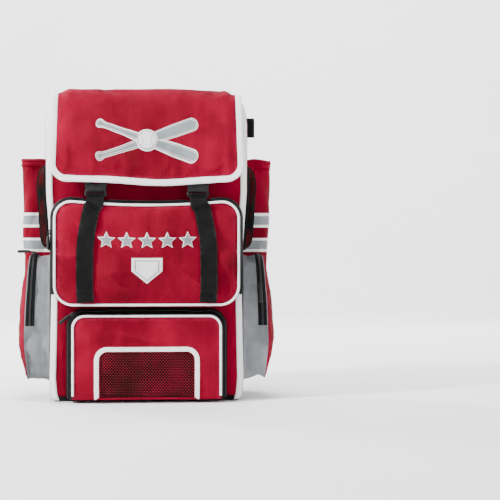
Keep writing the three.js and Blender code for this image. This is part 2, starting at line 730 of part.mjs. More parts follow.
// Bat sleeves: open-topped tubes, drawn in toward the bottom
const SLEEVE_ROWS = [
  { z: 0.0, share: 0.4 },
  { z: 0.06, share: 0.84 },
  { z: 0.2, share: 0.9 },
  { z: 0.6, share: 0.96 },
  { z: 1.0, share: 1.0 },
];
function sleeveVolume(side, offset, bottom, top) {
  const height = SLEEVE_TOP - SLEEVE_BOTTOM;
  const rings = SLEEVE_ROWS.map((row, i) => {
    const z = SLEEVE_BOTTOM + row.z * height;
    const outer = side * (sideSeat + SLEEVE_DEPTH * row.share + offset);
    const inner = side * (BODY_WIDTH / 2 - REACH);
    const front = SLEEVE_BACK - SLEEVE_WIDTH - offset;
    const corner = Math.min(SLEEVE_CORNER, SLEEVE_DEPTH * row.share);
    const outline = roundedOutline(
      Math.min(inner, outer),
      Math.max(inner, outer),
      front,
      SLEEVE_BACK + offset,
      corner,
      corner,
    );
    const shift = i === 0 ? bottom : i === SLEEVE_ROWS.length - 1 ? top : 0;
    return outline.map(([x, y]) => vector(x, y, z + shift));
  });
  return loft(rings);
}
for (const [word, side] of SIDES) {
  const sleeve = sleeveVolume(side, 0, 0, 0)
    .subtract(sleeveVolume(side, -CLOTH, CLOTH, REACH))
    .subtract(bodyRoom);
  add(`bat_sleeve_${word}`, sleeve, "red_cloth");
}

// Flap
const flapCurve = (column) =>
  new THREE.CatmullRomCurve3(
    FLAP_SECTIONS.map((row) => vector(0, (row.y * BODY_DEPTH) / 2, BODY_HEIGHT + row[column] * FLAP_DROP)),
    false,
    "centripetal",
  );
const flapMiddle = flapCurve("middle");
const flapSide = flapCurve("side");
const flapLength = flapMiddle.getLength();
const flapHalf = (s) => THREE.MathUtils.lerp(FLAP_TOP_WIDTH, FLAP_WIDTH, s / flapLength) / 2;

function flapPoint(x, s) {
  const t = THREE.MathUtils.clamp(s / flapLength, 0, 1);
  const side = Math.min((x / (FLAP_WIDTH / 2)) ** 2, 1);
  const point = flapMiddle.getPointAt(t).lerp(flapSide.getPointAt(t), side);
  return point.setX(x);
}

function flapSurface(x, s) {
  const step = 2;
  const across = flapPoint(x + step, s).sub(flapPoint(x - step, s));
  const along = flapPoint(x, s + step).sub(flapPoint(x, s - step));
  return { point: flapPoint(x, s), normal: across.cross(along).normalize() };
}

// One half of a line that runs along the flap's edge at a distance in from it: down the side, round the
// corner and, with a number of steps, along the bottom to the middle
const SIDE_STOPS = [0, 0.13, 0.3, 0.45, 0.52, 0.56, 0.6, 0.66, 0.8, 0.92]; // shares of the straight part
function flapEdge(inset, bottomSteps) {
  const cornerSteps = 4;
  const radius = FLAP_CORNER - inset;
  const straight = flapLength - FLAP_CORNER;
  const centre = flapHalf(straight) - FLAP_CORNER;
  const side = SIDE_STOPS.map((stop) => [flapHalf(stop * straight) - inset, stop * straight]);
  const corner = Array.from({ length: cornerSteps + 1 }, (_, i) => {
    const turn = (Math.PI / 2) * (i / cornerSteps);
    return [centre + radius * Math.cos(turn), straight + radius * Math.sin(turn)];
  });
  const bottom = Array.from({ length: bottomSteps }, (_, i) => [
    centre * (1 - (i + 1) / bottomSteps),
    straight + radius,
  ]);
  return [...side, ...corner, ...bottom];
}

const FLAP_COLUMNS = 8;
const flapGrid = flapEdge(HEM + GAP, 0).map(([half, s]) =>
  Array.from({ length: FLAP_COLUMNS + 1 }, (_, c) => flapPoint(half * ((2 * c) / FLAP_COLUMNS - 1), s)),
);
const hemHalf = flapEdge(HEM / 2, 4);
const hemLine = [...hemHalf, ...hemHalf.slice(0, -1).reverse().map(([x, s]) => [-x, s])];
add("flap", sheet(flapGrid, () => FLAP_THICKNESS), "red_cloth");
add("flap_binding", tape(flapSurface, hemLine, HEM, HEM_THICKNESS), "white_tape");

// How far forward a mesh reaches under a piece of webbing at a height, found by looking at it from behind
// or from the front: facing is 1 or -1 in Y
function reachOf(meshes, x, z, facing) {
  const hits = [-1, -0.5, 0, 0.5, 1].flatMap((share) => {
    const from = vector(x + (share * WEB_WIDTH) / 2, facing * BODY_WIDTH * 2, z);
    const ray = new THREE.Raycaster(from, vector(0, -facing, 0));
    return ray.intersectObjects(meshes, false).map((hit) => facing * hit.point.y);
  });
  return Math.max(...hits);
}

// Extrudes a flat shape of (x, z) to a thickness in Y, centred on y = 0
function plate(shape, thickness) {
  const geometry = new THREE.ExtrudeGeometry(shape, { depth: thickness, bevelEnabled: false });
  return solidOf(geometry.translate(0, 0, -thickness / 2).rotateX(Math.PI / 2));
}

// A rectangle as a shape or as a hole, with cut corners
function rectangle(x0, x1, z0, z1, cut, Kind = THREE.Shape) {
  const outline = new Kind();
  const points = [
    [x0 + cut, z0],
    [x1 - cut, z0],
    [x1, z0 + cut],
    [x1, z1 - cut],
    [x1 - cut, z1],
    [x0 + cut, z1],
    [x0, z1 - cut],
    [x0, z0 + cut],
  ];
  outline.setFromPoints(points.map(([x, z]) => new THREE.Vector2(x, z)));
  return outline;
}

// Front straps, buckles and the tabs that hold them under the flap
const STRAP_SHIFT = [
  { z: 0.0, share: 0.85 },
  { z: 0.2, share: 1.0 },
  { z: 0.72, share: 0.95 },
  { z: 0.9, share: 0.3 },
  { z: 1.0, share: 0.0 },
]; // how far outward the strap stands at a share of the pocket's height
// Shares of the pocket's height where the strap is laid on it
const STRAP_STOPS = [0.87, 0.83, 0.79, 0.75, 0.65, 0.59, 0.48, 0.35, 0.14, 0.055];
const slotHalf = (WEB_WIDTH + SLOT_SPARE) / 2;
const buckleTop = BUCKLE_BOTTOM + BUCKLE_HEIGHT;
const buckleY = -frontSeat - BUCKLE_CENTRE;
const wrap = WEB / 2 + GAP + 0.1;

for (const [word, side] of SIDES) {
  const centre = side * STRAP_OUT;
  const barFront = buckleY - BUCKLE_THICKNESS / 2 - wrap;
  const barBack = buckleY + BUCKLE_THICKNESS / 2 + wrap;
  const slotMiddle = BUCKLE_BOTTOM + BUCKLE_BAR + BUCKLE_SLOT / 2;
  const down = STRAP_STOPS.map((stop) => {
    const z = UPPER_BOTTOM + stop * UPPER_HEIGHT;
    const x = side * (STRAP_OUT + STRAP_SPREAD * lookUp(STRAP_SHIFT, "z", stop, "share"));
    return vector(x, -reachOf([upperPocket], x, z, -1) - wrap - 0.6, z);
  });
  const over = [
    [barBack, slotMiddle + 0.6],
    [buckleY, slotMiddle + 0.6],
    [barFront + 1, slotMiddle],
    [barFront, slotMiddle - 4],
    [barFront - 1.5, BUCKLE_BOTTOM - 1],
    [-frontSeat - 43, UPPER_BOTTOM + 0.985 * UPPER_HEIGHT - 0.5],
    [-frontSeat - 52, UPPER_BOTTOM + 0.965 * UPPER_HEIGHT],
    [-frontSeat - 58, UPPER_BOTTOM + 0.93 * UPPER_HEIGHT],
  ].map(([y, z]) => vector(centre, y, z));
  add(`front_strap_${word}`, webbing([...over, ...down], ACROSS), "black_webbing");

  const body = rectangle(-BUCKLE_WIDTH / 2, BUCKLE_WIDTH / 2, BUCKLE_BOTTOM, buckleTop, 4);
  const bodySlot = BUCKLE_BOTTOM + BUCKLE_BAR;
  body.holes.push(rectangle(-slotHalf, slotHalf, bodySlot, bodySlot + BUCKLE_SLOT, 0.6, THREE.Path));
  const buckle = plate(body, BUCKLE_THICKNESS).translate([centre, buckleY, 0]);
  add(`buckle_body_${word}`, buckle, "black_plastic");

  const clipBottom = buckleTop + GAP;
  const clipTop = clipBottom + CLIP_HEIGHT;
  const clip = rectangle(-BUCKLE_WIDTH / 2 + 1, BUCKLE_WIDTH / 2 - 1, clipBottom, clipTop, 2);
  const clipSlot = clipBottom + (CLIP_HEIGHT - CLIP_SLOT) / 2;
  clip.holes.push(rectangle(-slotHalf, slotHalf, clipSlot, clipSlot + CLIP_SLOT, 0.6, THREE.Path));
  add(`buckle_clip_${word}`, plate(clip, CLIP_THICKNESS).translate([centre, buckleY, 0]), "black_plastic");

  const clipFront = buckleY - CLIP_THICKNESS / 2 - wrap;
  const clipBack = buckleY + CLIP_THICKNESS / 2 + wrap;
  const tab = [
    [buckleY - 1, BODY_HEIGHT - 0.7 * FLAP_DROP],
    [clipFront, clipTop + 12],
    [clipFront, clipTop],
    [clipFront, clipSlot + CLIP_SLOT],
    [clipFront + wrap, clipSlot + CLIP_SLOT / 2 - 0.3],
    [clipBack - wrap, clipSlot + CLIP_SLOT / 2 - 0.3],
    [clipBack, clipSlot + CLIP_SLOT],
    [clipBack, clipTop + 8],
  ].map(([y, z]) => vector(centre, y, z));
  add(`flap_tab_${word}`, webbing(tab, ACROSS), "black_webbing");
}

// Back pads
const backPad = bodyVolume(GAP + PAD, PAD_BOTTOM, CENTRE_PAD_TOP).subtract(bodyVolume(GAP, 0, BODY_HEIGHT));
function padPrism(points) {
  const ring = (y) => points.map(([x, z]) => vector(x, y, z));
  return loft([ring(frontSeat / 2), ring(frontSeat + REACH)]);
}
const centreHalf = CENTRE_PAD_WIDTH / 2;
const centrePrism = padPrism([
  [-centreHalf, PAD_BOTTOM],
  [centreHalf, PAD_BOTTOM],
  [centreHalf, CENTRE_PAD_TOP],
  [-centreHalf, CENTRE_PAD_TOP],
]);
const pads = [add("back_pad_centre", backPad.intersect(centrePrism), "red_cloth")];
for (const [word, side] of SIDES) {
  const inner = side * (centreHalf + PAD_SPACE);
  const outer = side * SIDE_PAD_OUT;
  const prism = padPrism([
    [inner, PAD_BOTTOM],
    [outer, PAD_BOTTOM],
    [outer, SIDE_PAD_TOP - SIDE_PAD_SLANT],
    [inner, SIDE_PAD_TOP],
  ]);
  pads.push(add(`back_pad_${word}`, backPad.intersect(prism), "black_pad"));
}

// Shoulder straps, in two halves that meet behind the neck
const strapRow = (row) => ({
  z: row.z * BODY_HEIGHT,
  inner: (row.inner * BODY_WIDTH) / 2,
  outer: (row.outer * BODY_WIDTH) / 2,
  y: frontSeat + row.out * STRAP_BOW,
});
const strapRows = STRAP_ROWS.map(strapRow).reverse();
const strapY = (z) => lookUp(strapRows, "z", z, "y");
function strapSurface(x, z) {
  const step = 4;
  const point = vector(x, strapY(z), z);
  const slope = vector(0, strapY(z + step) - strapY(z - step), 2 * step);
  return { point, normal: slope.cross(ACROSS).normalize() };
}

// A line of [x, z] places moved sideways, to its left when the distance is positive
function beside(line, distance) {
  return line.map(([x, z], i) => {
    const [x0, z0] = line[Math.max(i - 1, 0)];
    const [x1, z1] = line[Math.min(i + 1, line.length - 1)];
    const length = Math.hypot(x1 - x0, z1 - z0);
    return [x - ((z1 - z0) / length) * distance, z + ((x1 - x0) / length) * distance];
  });
}

const archTop = BODY_HEIGHT * ARCH_TOP;
const neckTop = BODY_HEIGHT * NECK_TOP;
const innerLow = strapRows.filter((row) => row.z <= archTop + 0.1).map((row) => [row.inner, row.z]);
const innerHigh = strapRows.filter((row) => row.z >= neckTop - 0.1).map((row) => [row.inner, row.z]);
const outerEdge = strapRows.map((row) => [row.outer, row.z]);
const archHalf = beside(innerLow, -BINDING / 2);
const neckHalf = beside(innerHigh, -BINDING / 2);
archHalf[archHalf.length - 1] = [0, archTop + BINDING / 2];
neckHalf[0] = [0, neckTop - BINDING / 2];
const mirrored = (line) => [...line, ...line.slice(0, -1).reverse().map(([x, z]) => [-x, z])];

// Red cloth of the straps, inside the bindings, in rows that match the bindings' rings
const margin = BINDING + 3 * GAP;
const innerInset = [
  ...beside(innerLow, -margin).slice(0, -1),
  [GAP, archTop + margin],
  ...strapRows.filter((row) => row.z > archTop + 1 && row.z < neckTop - 1).map((row) => [GAP, row.z]),
  [GAP, neckTop - margin],
  ...beside(innerHigh, -margin).slice(1),
];
const outerInset = beside(outerEdge, margin);
const STRAP_COLUMNS = [
  { share: 0, full: 0 },
  { share: 0.22, full: 1 },
  { share: 0.78, full: 1 },
  { share: 1, full: 0 },
]; // full is 0 for the edge's thickness and 1 for the strap's
const harness = [];
for (const [word, side] of SIDES) {
  const grid = innerInset.map(([innerX, innerZ], i) => {
    const [outerX, outerZ] = outerInset[i];
    return STRAP_COLUMNS.map(({ share }) => {
      const z = THREE.MathUtils.lerp(innerZ, outerZ, share);
      return vector(side * THREE.MathUtils.lerp(innerX, outerX, share), strapY(z), z);
    });
  });
  const thickness = (r, c) => {
    const taper = THREE.MathUtils.lerp(STRAP_TIP, 1, Math.min(grid[r][c].z / STRAP_TAPER, 1) ** 2);
    return taper * THREE.MathUtils.lerp(STRAP_EDGE, STRAP_THICKNESS, STRAP_COLUMNS[c].full);
  };
  const line = beside(outerEdge, BINDING / 2).map(([x, z]) => [side * x, z]);
  harness.push(add(`shoulder_strap_${word}`, sheet(grid, thickness), "red_cloth"));
  add(`strap_binding_${word}`, tape(strapSurface, line, BINDING, BINDING_THICKNESS), "white_tape");
}
const archLine = mirrored(archHalf);
const neckLine = mirrored([...neckHalf].reverse());
add("arch_binding", tape(strapSurface, archLine, BINDING, BINDING_THICKNESS), "white_tape");
add("neck_binding", tape(strapSurface, neckLine, BINDING, BINDING_THICKNESS), "white_tape");

// Ladder locks, the anchors that hold them on the shoulder straps, and the lower webbing through them
const lockBottom = LOCK_TOP - LOCK_HEIGHT;
const lockSlot = (LOCK_HEIGHT - 3 * LOCK_BAR) / 2;
const lockFront = LOCK_CENTRE - LOCK_THICKNESS / 2 - wrap;
const lockBack = LOCK_CENTRE + LOCK_THICKNESS / 2 + wrap;
const middleBar = lockBottom + LOCK_BAR + lockSlot;
const turnIn = 1.9; // of webbing under or over a bar

for (const [word, side] of SIDES) {
  const centre = side * LOCK_OUT;
  const at = ([y, z]) => vector(centre, y, z);
  const layer = (z, lift) => [reachOf(harness, centre, z, 1) + wrap + lift, z];
  const topBar = LOCK_TOP - LOCK_BAR;
  const anchor = [
    ...[ANCHOR_TOP, 140, 122, 108].map((z) => layer(z, 0)),
    [lockFront, LOCK_TOP + 2],
    [lockFront, topBar],
    [lockFront + wrap, topBar - turnIn],
    [lockBack - wrap, topBar - turnIn],
    [lockBack, topBar],
    [lockBack, LOCK_TOP + 2],
    ...[112, 126, ANCHOR_TOP - 14].map((z) => layer(z, WEB + 0.5)),
  ];
  add(`strap_anchor_${word}`, webbing(anchor.map(at), ACROSS), "black_webbing");

  const lock = rectangle(-LOCK_WIDTH / 2, LOCK_WIDTH / 2, lockBottom, LOCK_TOP, 2);
  for (const z of [lockBottom + LOCK_BAR, middleBar + LOCK_BAR]) {
    lock.holes.push(rectangle(-slotHalf, slotHalf, z, z + lockSlot, 0.6, THREE.Path));
  }
  const hung = plate(lock, LOCK_THICKNESS).translate([centre, LOCK_CENTRE, 0]);
  add(`ladder_lock_${word}`, hung, "black_plastic");

  const padFace = frontSeat + GAP + PAD + wrap;
  const lying = WEB / 2 + 0.1;
  const run = [
    [lockBack + 0.8, TAIL_END],
    [lockBack, lockBottom - 2],
    [lockBack, middleBar + LOCK_BAR],
    [lockBack - wrap, middleBar + LOCK_BAR + turnIn],
    [lockFront + wrap, middleBar + LOCK_BAR + turnIn],
    [lockFront, middleBar + LOCK_BAR],
    [lockFront, lockBottom + 2],
    [lockFront - 2, 42],
    [lockFront + 1, 27],
    [lockFront + 10, 17],
    [lockFront + 26, 12.5],
    [SLACK_REACH - 6, 10.5],
    [SLACK_REACH - 1, 6.5],
    [SLACK_REACH - 4, 2.4],
    [SLACK_REACH - 13, lying],
    [lockFront, lying],
    [padFace + 10, lying],
    [padFace + 1.5, 5],
    [padFace, 12],
    [padFace, 24],
  ];
  add(`lower_webbing_${word}`, webbing(run.map(at), ACROSS), "black_webbing");
}

// Fence hooks, both turned the same way, on webbing tabs
function hookShape() {
  const curve = new THREE.CatmullRomCurve3(
    HOOK_ROWS.map((row) => vector(row.across, -row.down, row.width).multiplyScalar(HOOK_HEIGHT)),
    false,
    "centripetal",
  );
  const spine = curve.getSpacedPoints(11).map(({ x, y, z }) => ({ x, z: y, half: z / 2 }));
  const levelSteps = 4; // over which its width turns from level to square with the spine
  const edge = (sign) =>
    spine.map(({ x, z, half }, i) => {
      const before = spine[Math.max(i - 1, 0)];
      const after = spine[Math.min(i + 1, spine.length - 1)];
      const square = new THREE.Vector2(before.z - after.z, after.x - before.x).normalize();
      const across = new THREE.Vector2(1, 0).lerp(square, Math.min(i / levelSteps, 1)).normalize();
      return across.multiplyScalar(sign * half).add(new THREE.Vector2(x, z));
    });
  const head = HOOK_HEAD / 2;
  const neck = HOOK_BAR + HOOK_SLOT;
  const top = [
    new THREE.Vector2(-head, -neck),
    new THREE.Vector2(-head, -1.5),
    new THREE.Vector2(1.5 - head, 0),
    new THREE.Vector2(head - 1.5, 0),
    new THREE.Vector2(head, -1.5),
    new THREE.Vector2(head, -neck),
  ];
  const shape = new THREE.Shape([...top, ...edge(1), ...edge(-1).reverse()]);
  const slot = (HOOK_TAB + SLOT_SPARE) / 2;
  shape.holes.push(rectangle(-slot, slot, -neck, -HOOK_BAR, 0.6, THREE.Path));
  return shape;
}

for (const [word, side] of SIDES) {
  const centre = side * HOOK_OUT;
  const hook = plate(hookShape(), HOOK_THICKNESS).rotate([HOOK_LEAN, 0, 0]);
  add(`fence_hook_${word}`, hook.translate([centre, HOOK_CENTRE, HOOK_TOP]), "black_plastic");
  const near = HOOK_CENTRE - HOOK_THICKNESS / 2 - wrap;
  const far = HOOK_CENTRE + HOOK_THICKNESS / 2 + wrap + 1;
  const slotZ = HOOK_TOP - HOOK_BAR - HOOK_SLOT / 2;
  const tab = [
    [bodyBack(HOOK_TOP - 20) + wrap + 0.5, HOOK_TOP - 20],
    [near - WEB - 0.9, HOOK_TOP + 8],
    [near + 0.5, HOOK_TOP + 17],
    [HOOK_CENTRE, HOOK_TOP + 20],
    [far - 2, HOOK_TOP + 15],
    [far, HOOK_TOP + 4],
    [far, HOOK_TOP - HOOK_BAR],
    [far - wrap, slotZ - 0.4],
    [near + wrap, slotZ + 0.8],
    [near - 0.2, HOOK_TOP - HOOK_BAR],
    [near - 0.2, HOOK_TOP + 8],
  ].map(([y, z]) => vector(centre, y, z));
  add(`hook_tab_${word}`, webbing(tab, ACROSS, HOOK_TAB), "black_webbing");
}

// Webbing loop high on the right side: two upright layers that meet in a fold
const loop = [
  [0, 3.4],
  [0.45, 4.7],
  [0.86, 4.3],
  [1, 0],
  [0.86, -4.3],
  [0.45, -4.7],
  [0, -3.4],
].map(([out, back]) => {
  const x = BODY_WIDTH / 2 + GAP + 0.2 + out * LOOP_REACH;
  return vector(x, LOOP_CENTRE + LOOP_LEAN * out + back, LOOP_MIDDLE);
});
add("side_loop", webbing(smooth(loop, 16), UPWARD, LOOP_WIDTH), "black_webbing");

// Zip sliders with their pulls: at is a place on the zip, normal points away from it and the pull hangs
// along hang
function addPull(name, at, normal, hang) {
  const depth = normal.clone().normalize().negate();
  const long = hang.clone().addScaledVector(depth, -hang.dot(depth)).normalize().negate();
  const across = depth.clone().cross(long);
  const turn = new THREE.Matrix4().makeBasis(across, depth, long).setPosition(at);
  const slider = new THREE.BoxGeometry(SLIDER_WIDTH, SLIDER_THICKNESS, SLIDER_LENGTH);
  slider.translate(0, -GAP - SLIDER_THICKNESS / 2, 0);
  const pull = new THREE.BoxGeometry(PULL_WIDTH, PULL_THICKNESS, PULL_LENGTH);
  pull.translate(0, -SLIDER_THICKNESS - PULL_THICKNESS / 2, SLIDER_LENGTH / 4 - PULL_LENGTH / 2);
  add(name, solidOf(slider.applyMatrix4(turn)).add(solidOf(pull.applyMatrix4(turn))), "black_plastic");
}

const skin = GAP + ZIP_TAPE + 0.6;
const upperZipHalf = UPPER_WIDTH / 2 - upper.drawn(0.5) + skin;
addPull(
  "upper_zip_pull",
  vector(-upperZipHalf, -frontSeat - 0.5 * UPPER_DEPTH, UPPER_BOTTOM + 0.68 * UPPER_HEIGHT),
  vector(-1, 0, 0),
  vector(0, 0, -1),
);
const lowerTurn = THREE.MathUtils.degToRad(50);
const lowerOut = 0.42;
const lowerZipRadius = LOWER_TOP_RADIUS - lower.drawn(lowerOut) + skin;
const lowerRadial = vector(-Math.cos(lowerTurn), 0, Math.sin(lowerTurn));
const lowerCorner = vector(
  -LOWER_WIDTH / 2 + LOWER_TOP_RADIUS,
  -frontSeat - lowerOut * LOWER_DEPTH,
  lowerTop - LOWER_TOP_RADIUS,
);
addPull(
  "lower_zip_pull",
  lowerCorner.addScaledVector(lowerRadial, lowerZipRadius),
  lowerRadial.clone().setY(-0.38),
  vector(-Math.sin(lowerTurn), 0, -Math.cos(lowerTurn)),
);
const archPull = vector(-sideSeat - 33, sideFront + 28, sideTop - 0.7);
addPull("side_zip_pull_left", archPull, vector(0, 0, 1), vector(-1, 0, 0));
const sidePull = vector(sideSeat + 35, sideFront - 0.5, sideTop - 62);
addPull("side_zip_pull_right", sidePull, vector(0, -1, 0), vector(0, 0, -1));

export default bag;
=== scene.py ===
"""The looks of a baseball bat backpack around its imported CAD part. Blender 4.5.

All forms are worked out in millimetres, from the same named sizes as the CAD part, and become metres
when a piece is made. The front faces -Y, left is -X, and the floor is z = 0.
"""

import math

import bmesh
import bpy
import numpy as np
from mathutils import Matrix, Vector


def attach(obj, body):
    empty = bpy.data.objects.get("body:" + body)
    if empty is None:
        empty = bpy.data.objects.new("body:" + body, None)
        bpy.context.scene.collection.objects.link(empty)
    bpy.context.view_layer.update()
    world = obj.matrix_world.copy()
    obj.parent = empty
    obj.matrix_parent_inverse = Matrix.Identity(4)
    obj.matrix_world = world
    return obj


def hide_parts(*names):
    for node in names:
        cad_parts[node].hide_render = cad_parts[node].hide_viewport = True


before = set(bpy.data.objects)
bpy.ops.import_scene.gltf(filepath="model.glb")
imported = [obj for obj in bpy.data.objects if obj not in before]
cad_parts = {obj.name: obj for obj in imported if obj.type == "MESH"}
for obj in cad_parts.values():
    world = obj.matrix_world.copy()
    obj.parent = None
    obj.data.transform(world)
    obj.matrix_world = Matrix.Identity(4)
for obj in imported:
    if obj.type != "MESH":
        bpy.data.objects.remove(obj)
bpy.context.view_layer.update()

MM = 0.001
SIDES = {"left": -1, "right": 1}

# Sizes shared with the CAD part
GAP = 0.3
CLOTH = 2.4
TAPE = 1.6
PIPING = 4.6
WEB = 2.0
WEB_WIDTH = 32.0
BODY_WIDTH, BODY_DEPTH, BODY_HEIGHT = 388.0, 190.0, 575.0
BODY_CORNER = 14.0
FRONT = BODY_DEPTH / 2
SIDE_SEAT = BODY_WIDTH / 2 * 0.95
BASE_RISE = 10.0
FLAP_WIDTH, FLAP_TOP_WIDTH, FLAP_DROP, FLAP_CORNER = 370.0, 356.0, 160.0, 34.0
HEM, HEM_THICKNESS = 13.0, 6.2
UPPER_BOTTOM, UPPER_HEIGHT, UPPER_DIP = 180.0, 212.0, 11.0
SIDE_FRONT_Y = -FRONT + 7
SLEEVE_BOTTOM, SLEEVE_TOP, SLEEVE_DEPTH = 36.0, 470.0, 64.0
SLEEVE_FRONT, SLEEVE_BACK, SLEEVE_CORNER = 4.0, 88.0, 22.0
STRAP_BOW = 40.0
BINDING, BINDING_THICKNESS = 13.0, 7.4

# z, width and depth of the body as shares of its sizes
BODY_ROWS = np.array([
    (0.0, 0.925, 0.93), (0.018, 0.952, 0.98), (0.075, 0.966, 1.0), (0.21, 0.957, 1.0),
    (0.4, 0.948, 1.0), (0.54, 0.965, 1.0), (0.7, 1.0, 1.0), (0.93, 1.0, 0.99),
    (0.975, 0.985, 0.97), (1.0, 0.955, 0.94), (1.012, 0.915, 0.9),
])

# The flap from back to front: y in half depths, heights over the rim in drops, in the middle and at the sides
FLAP_ROWS = np.array([
    (0.916, 0.067, 0.066), (0.737, 0.088, 0.08), (0.421, 0.104, 0.09), (0.0, 0.11, 0.094),
    (-0.421, 0.108, 0.094), (-0.758, 0.1, 0.09), (-0.89, 0.088, 0.082), (-0.985, 0.056, 0.041),
    (-1.063, -0.037, -0.062), (-1.137, -0.225, -0.237), (-1.242, -0.5, -0.506),
    (-1.337, -0.75, -0.744), (-1.389, -1.0, -0.963),
])

# The harness from the top down: z, inner and outer edge in half widths, and distance off the body in bows
STRAP_ROWS = np.array([
    (1.023, 0.284, 0.706, 0.0), (1.0, 0.227, 0.711, 0.05), (0.979, 0.144, 0.714, 0.125),
    (0.965, 0.052, 0.716, 0.175), (0.96, 0.0, 0.716, 0.188), (0.922, 0.0, 0.719, 0.212),
    (0.88, 0.0, 0.722, 0.275), (0.871, 0.072, 0.723, 0.338), (0.859, 0.144, 0.725, 0.4),
    (0.842, 0.196, 0.727, 0.463), (0.809, 0.232, 0.729, 0.6), (0.765, 0.253, 0.732, 0.75),
    (0.696, 0.263, 0.737, 0.85), (0.609, 0.271, 0.753, 0.925), (0.539, 0.278, 0.778, 0.95),
    (0.452, 0.299, 0.825, 0.95), (0.365, 0.34, 0.881, 0.9), (0.287, 0.397, 0.928, 0.825),
    (0.226, 0.464, 0.948, 0.75), (0.183, 0.536, 0.938, 0.675), (0.157, 0.598, 0.907, 0.625),
    (0.139, 0.66, 0.856, 0.575),
])

HOOK_ROWS = np.array([
    (0.0, 0.15, 0.425), (-0.075, 0.3, 0.25), (-0.087, 0.45, 0.212), (-0.05, 0.662, 0.15),
    (0.075, 0.85, 0.125), (0.25, 0.938, 0.125), (0.375, 0.825, 0.113), (0.35, 0.7, 0.1),
])


# Noise, lines and outlines

def noise(points, size, seed=0):
    """Smooth noise from -1 to 1, with hills about size apart; size may differ along the three axes."""
    places = np.asarray(points, float) / size + 31.7 * (seed + 1)
    cell = np.floor(places).astype(np.int64)
    share = places - cell
    share = share * share * (3 - 2 * share)
    total = 0.0
    for corner in range(8):
        offset = np.array([(corner >> axis) & 1 for axis in range(3)])
        key = ((cell + offset) * np.array([73856093, 19349663, 83492791])).sum(-1) & 0x7FFFFFFF
        key = ((key ^ (key >> 13)) * 1274126177) & 0x7FFFFFFF
        value = ((key ^ (key >> 16)) & 0xFFFF) / 32767.5 - 1
        total = total + value * np.where(offset, share, 1 - share).prod(-1)
    return total


def creases(points, size, seed):
    """Soft ridges between 0 and 1 that follow the long axis of size."""
    return (1 - np.abs(noise(points, size, seed))) ** 3


def fade(distance, reach):
    """From 0 at a border to 1 at a distance of reach and beyond."""
    share = np.clip(np.asarray(distance) / reach, 0, 1)
    return share * share * (3 - 2 * share)


def unit(vectors):
    return vectors / np.maximum(np.linalg.norm(vectors, axis=-1, keepdims=True), 1e-9)


def lengths_of(line):
    """Length along a line of points up to each of them."""
    return np.concatenate([[0], np.cumsum(np.linalg.norm(np.diff(line, axis=0), axis=1))])


def spaced(line, count):
    """The same line as evenly spaced points."""
    line = np.asarray(line, float)
    along = lengths_of(line)
    stops = np.linspace(0, along[-1], count)
    return np.stack([np.interp(stops, along, column) for column in line.T], 1)


def curve(points, count):
    """Evenly spaced points on a smooth line through a few (centripetal Catmull-Rom)."""
    points = np.asarray(points, float)
    ends = np.vstack([2 * points[0] - points[1], points, 2 * points[-1] - points[-2]])
    steps = np.maximum(np.linalg.norm(np.diff(ends, axis=0), axis=1) ** 0.5, 1e-4)
    t = np.linspace(0, 1, 33)[:-1, None]
    runs = []
    for i in range(len(points) - 1):
        a, b, c, d = ends[i : i + 4]
        before, here, after = steps[i : i + 3]
        start = ((b - a) / before - (c - a) / (before + here) + (c - b) / here) * here
        end = ((c - b) / here - (d - b) / (here + after) + (d - c) / after) * here
        runs.append(
            b * (2 * t**3 - 3 * t**2 + 1)
            + start * (t**3 - 2 * t**2 + t)
            + c * (3 * t**2 - 2 * t**3)
            + end * (t**3 - t**2)
        )
    return spaced(np.vstack([*runs, points[-1:]]), count)


def level(places, keys, values, blur):
    """A table's value at places, with its corners rounded over blur on either side."""
    places = np.asarray(places, float)
    return np.mean([np.interp(places + shift, keys, values) for shift in np.linspace(-blur, blur, 9)], 0)


def rounded(u0, u1, v0, v1, low, high, across=30, up=24, turn=10):
    """A rounded rectangle as a loop of points, from the right end of its bottom edge anticlockwise."""
    corners = [
        (u1 - low, v0 + low, low, -90),
        (u1 - high, v1 - high, high, 0),
        (u0 + high, v1 - high, high, 90),
        (u0 + low, v0 + low, low, 180),
    ]
    arcs = []
    for u, v, radius, start in corners:
        angles = np.radians(start + np.linspace(0, 90, turn + 1))
        arcs.append(np.stack([u + radius * np.cos(angles), v + radius * np.sin(angles)], 1))
    line = []
    for k, steps in enumerate([up, across, up, across]):
        share = np.linspace(0, 1, steps + 1)[1:-1, None]
        line += [arcs[k], arcs[k][-1] * (1 - share) + arcs[(k + 1) % 4][0] * share]
    return np.vstack(line)


def frames(line, facing, closed=False):
    """Tangent, sideways and lifted directions along a line; facing is about the way that lifted points."""
    if closed:
        tangents = unit(np.roll(line, -1, 0) - np.roll(line, 1, 0))
    else:
        tangents = unit(np.gradient(line, axis=0))
    facing = np.broadcast_to(np.asarray(facing, float), line.shape)
    sides = unit(np.cross(tangents, facing))
    return tangents, sides, np.cross(sides, tangents)


def quads(rows, columns, wrap_rows=False, wrap_columns=False):
    """Faces of a grid of points."""
    r = np.arange(rows if wrap_rows else rows - 1)
    c = np.arange(columns if wrap_columns else columns - 1)
    r, c = (a.ravel() for a in np.meshgrid(r, c, indexing="ij"))
    below, beside = (r + 1) % rows, (c + 1) % columns
    return np.stack([r, r, below, below], 1) * columns + np.stack([c, beside, beside, c], 1)


def grid_normals(grid, wrap_columns=False):
    """Directions square to a grid of points."""
    if wrap_columns:
        across = np.roll(grid, -1, 1) - np.roll(grid, 1, 1)
    else:
        across = np.gradient(grid, axis=1)
    return unit(np.cross(across, np.gradient(grid, axis=0)))


# Materials

def linear(red, green, blue):
    """A colour of 0 to 255 as Blender's own linear numbers."""
    return tuple((c / 255 / 12.92 if c <= 10 else ((c / 255 + 0.055) / 1.055) ** 2.4) for c in (red, green, blue)) + (1,)


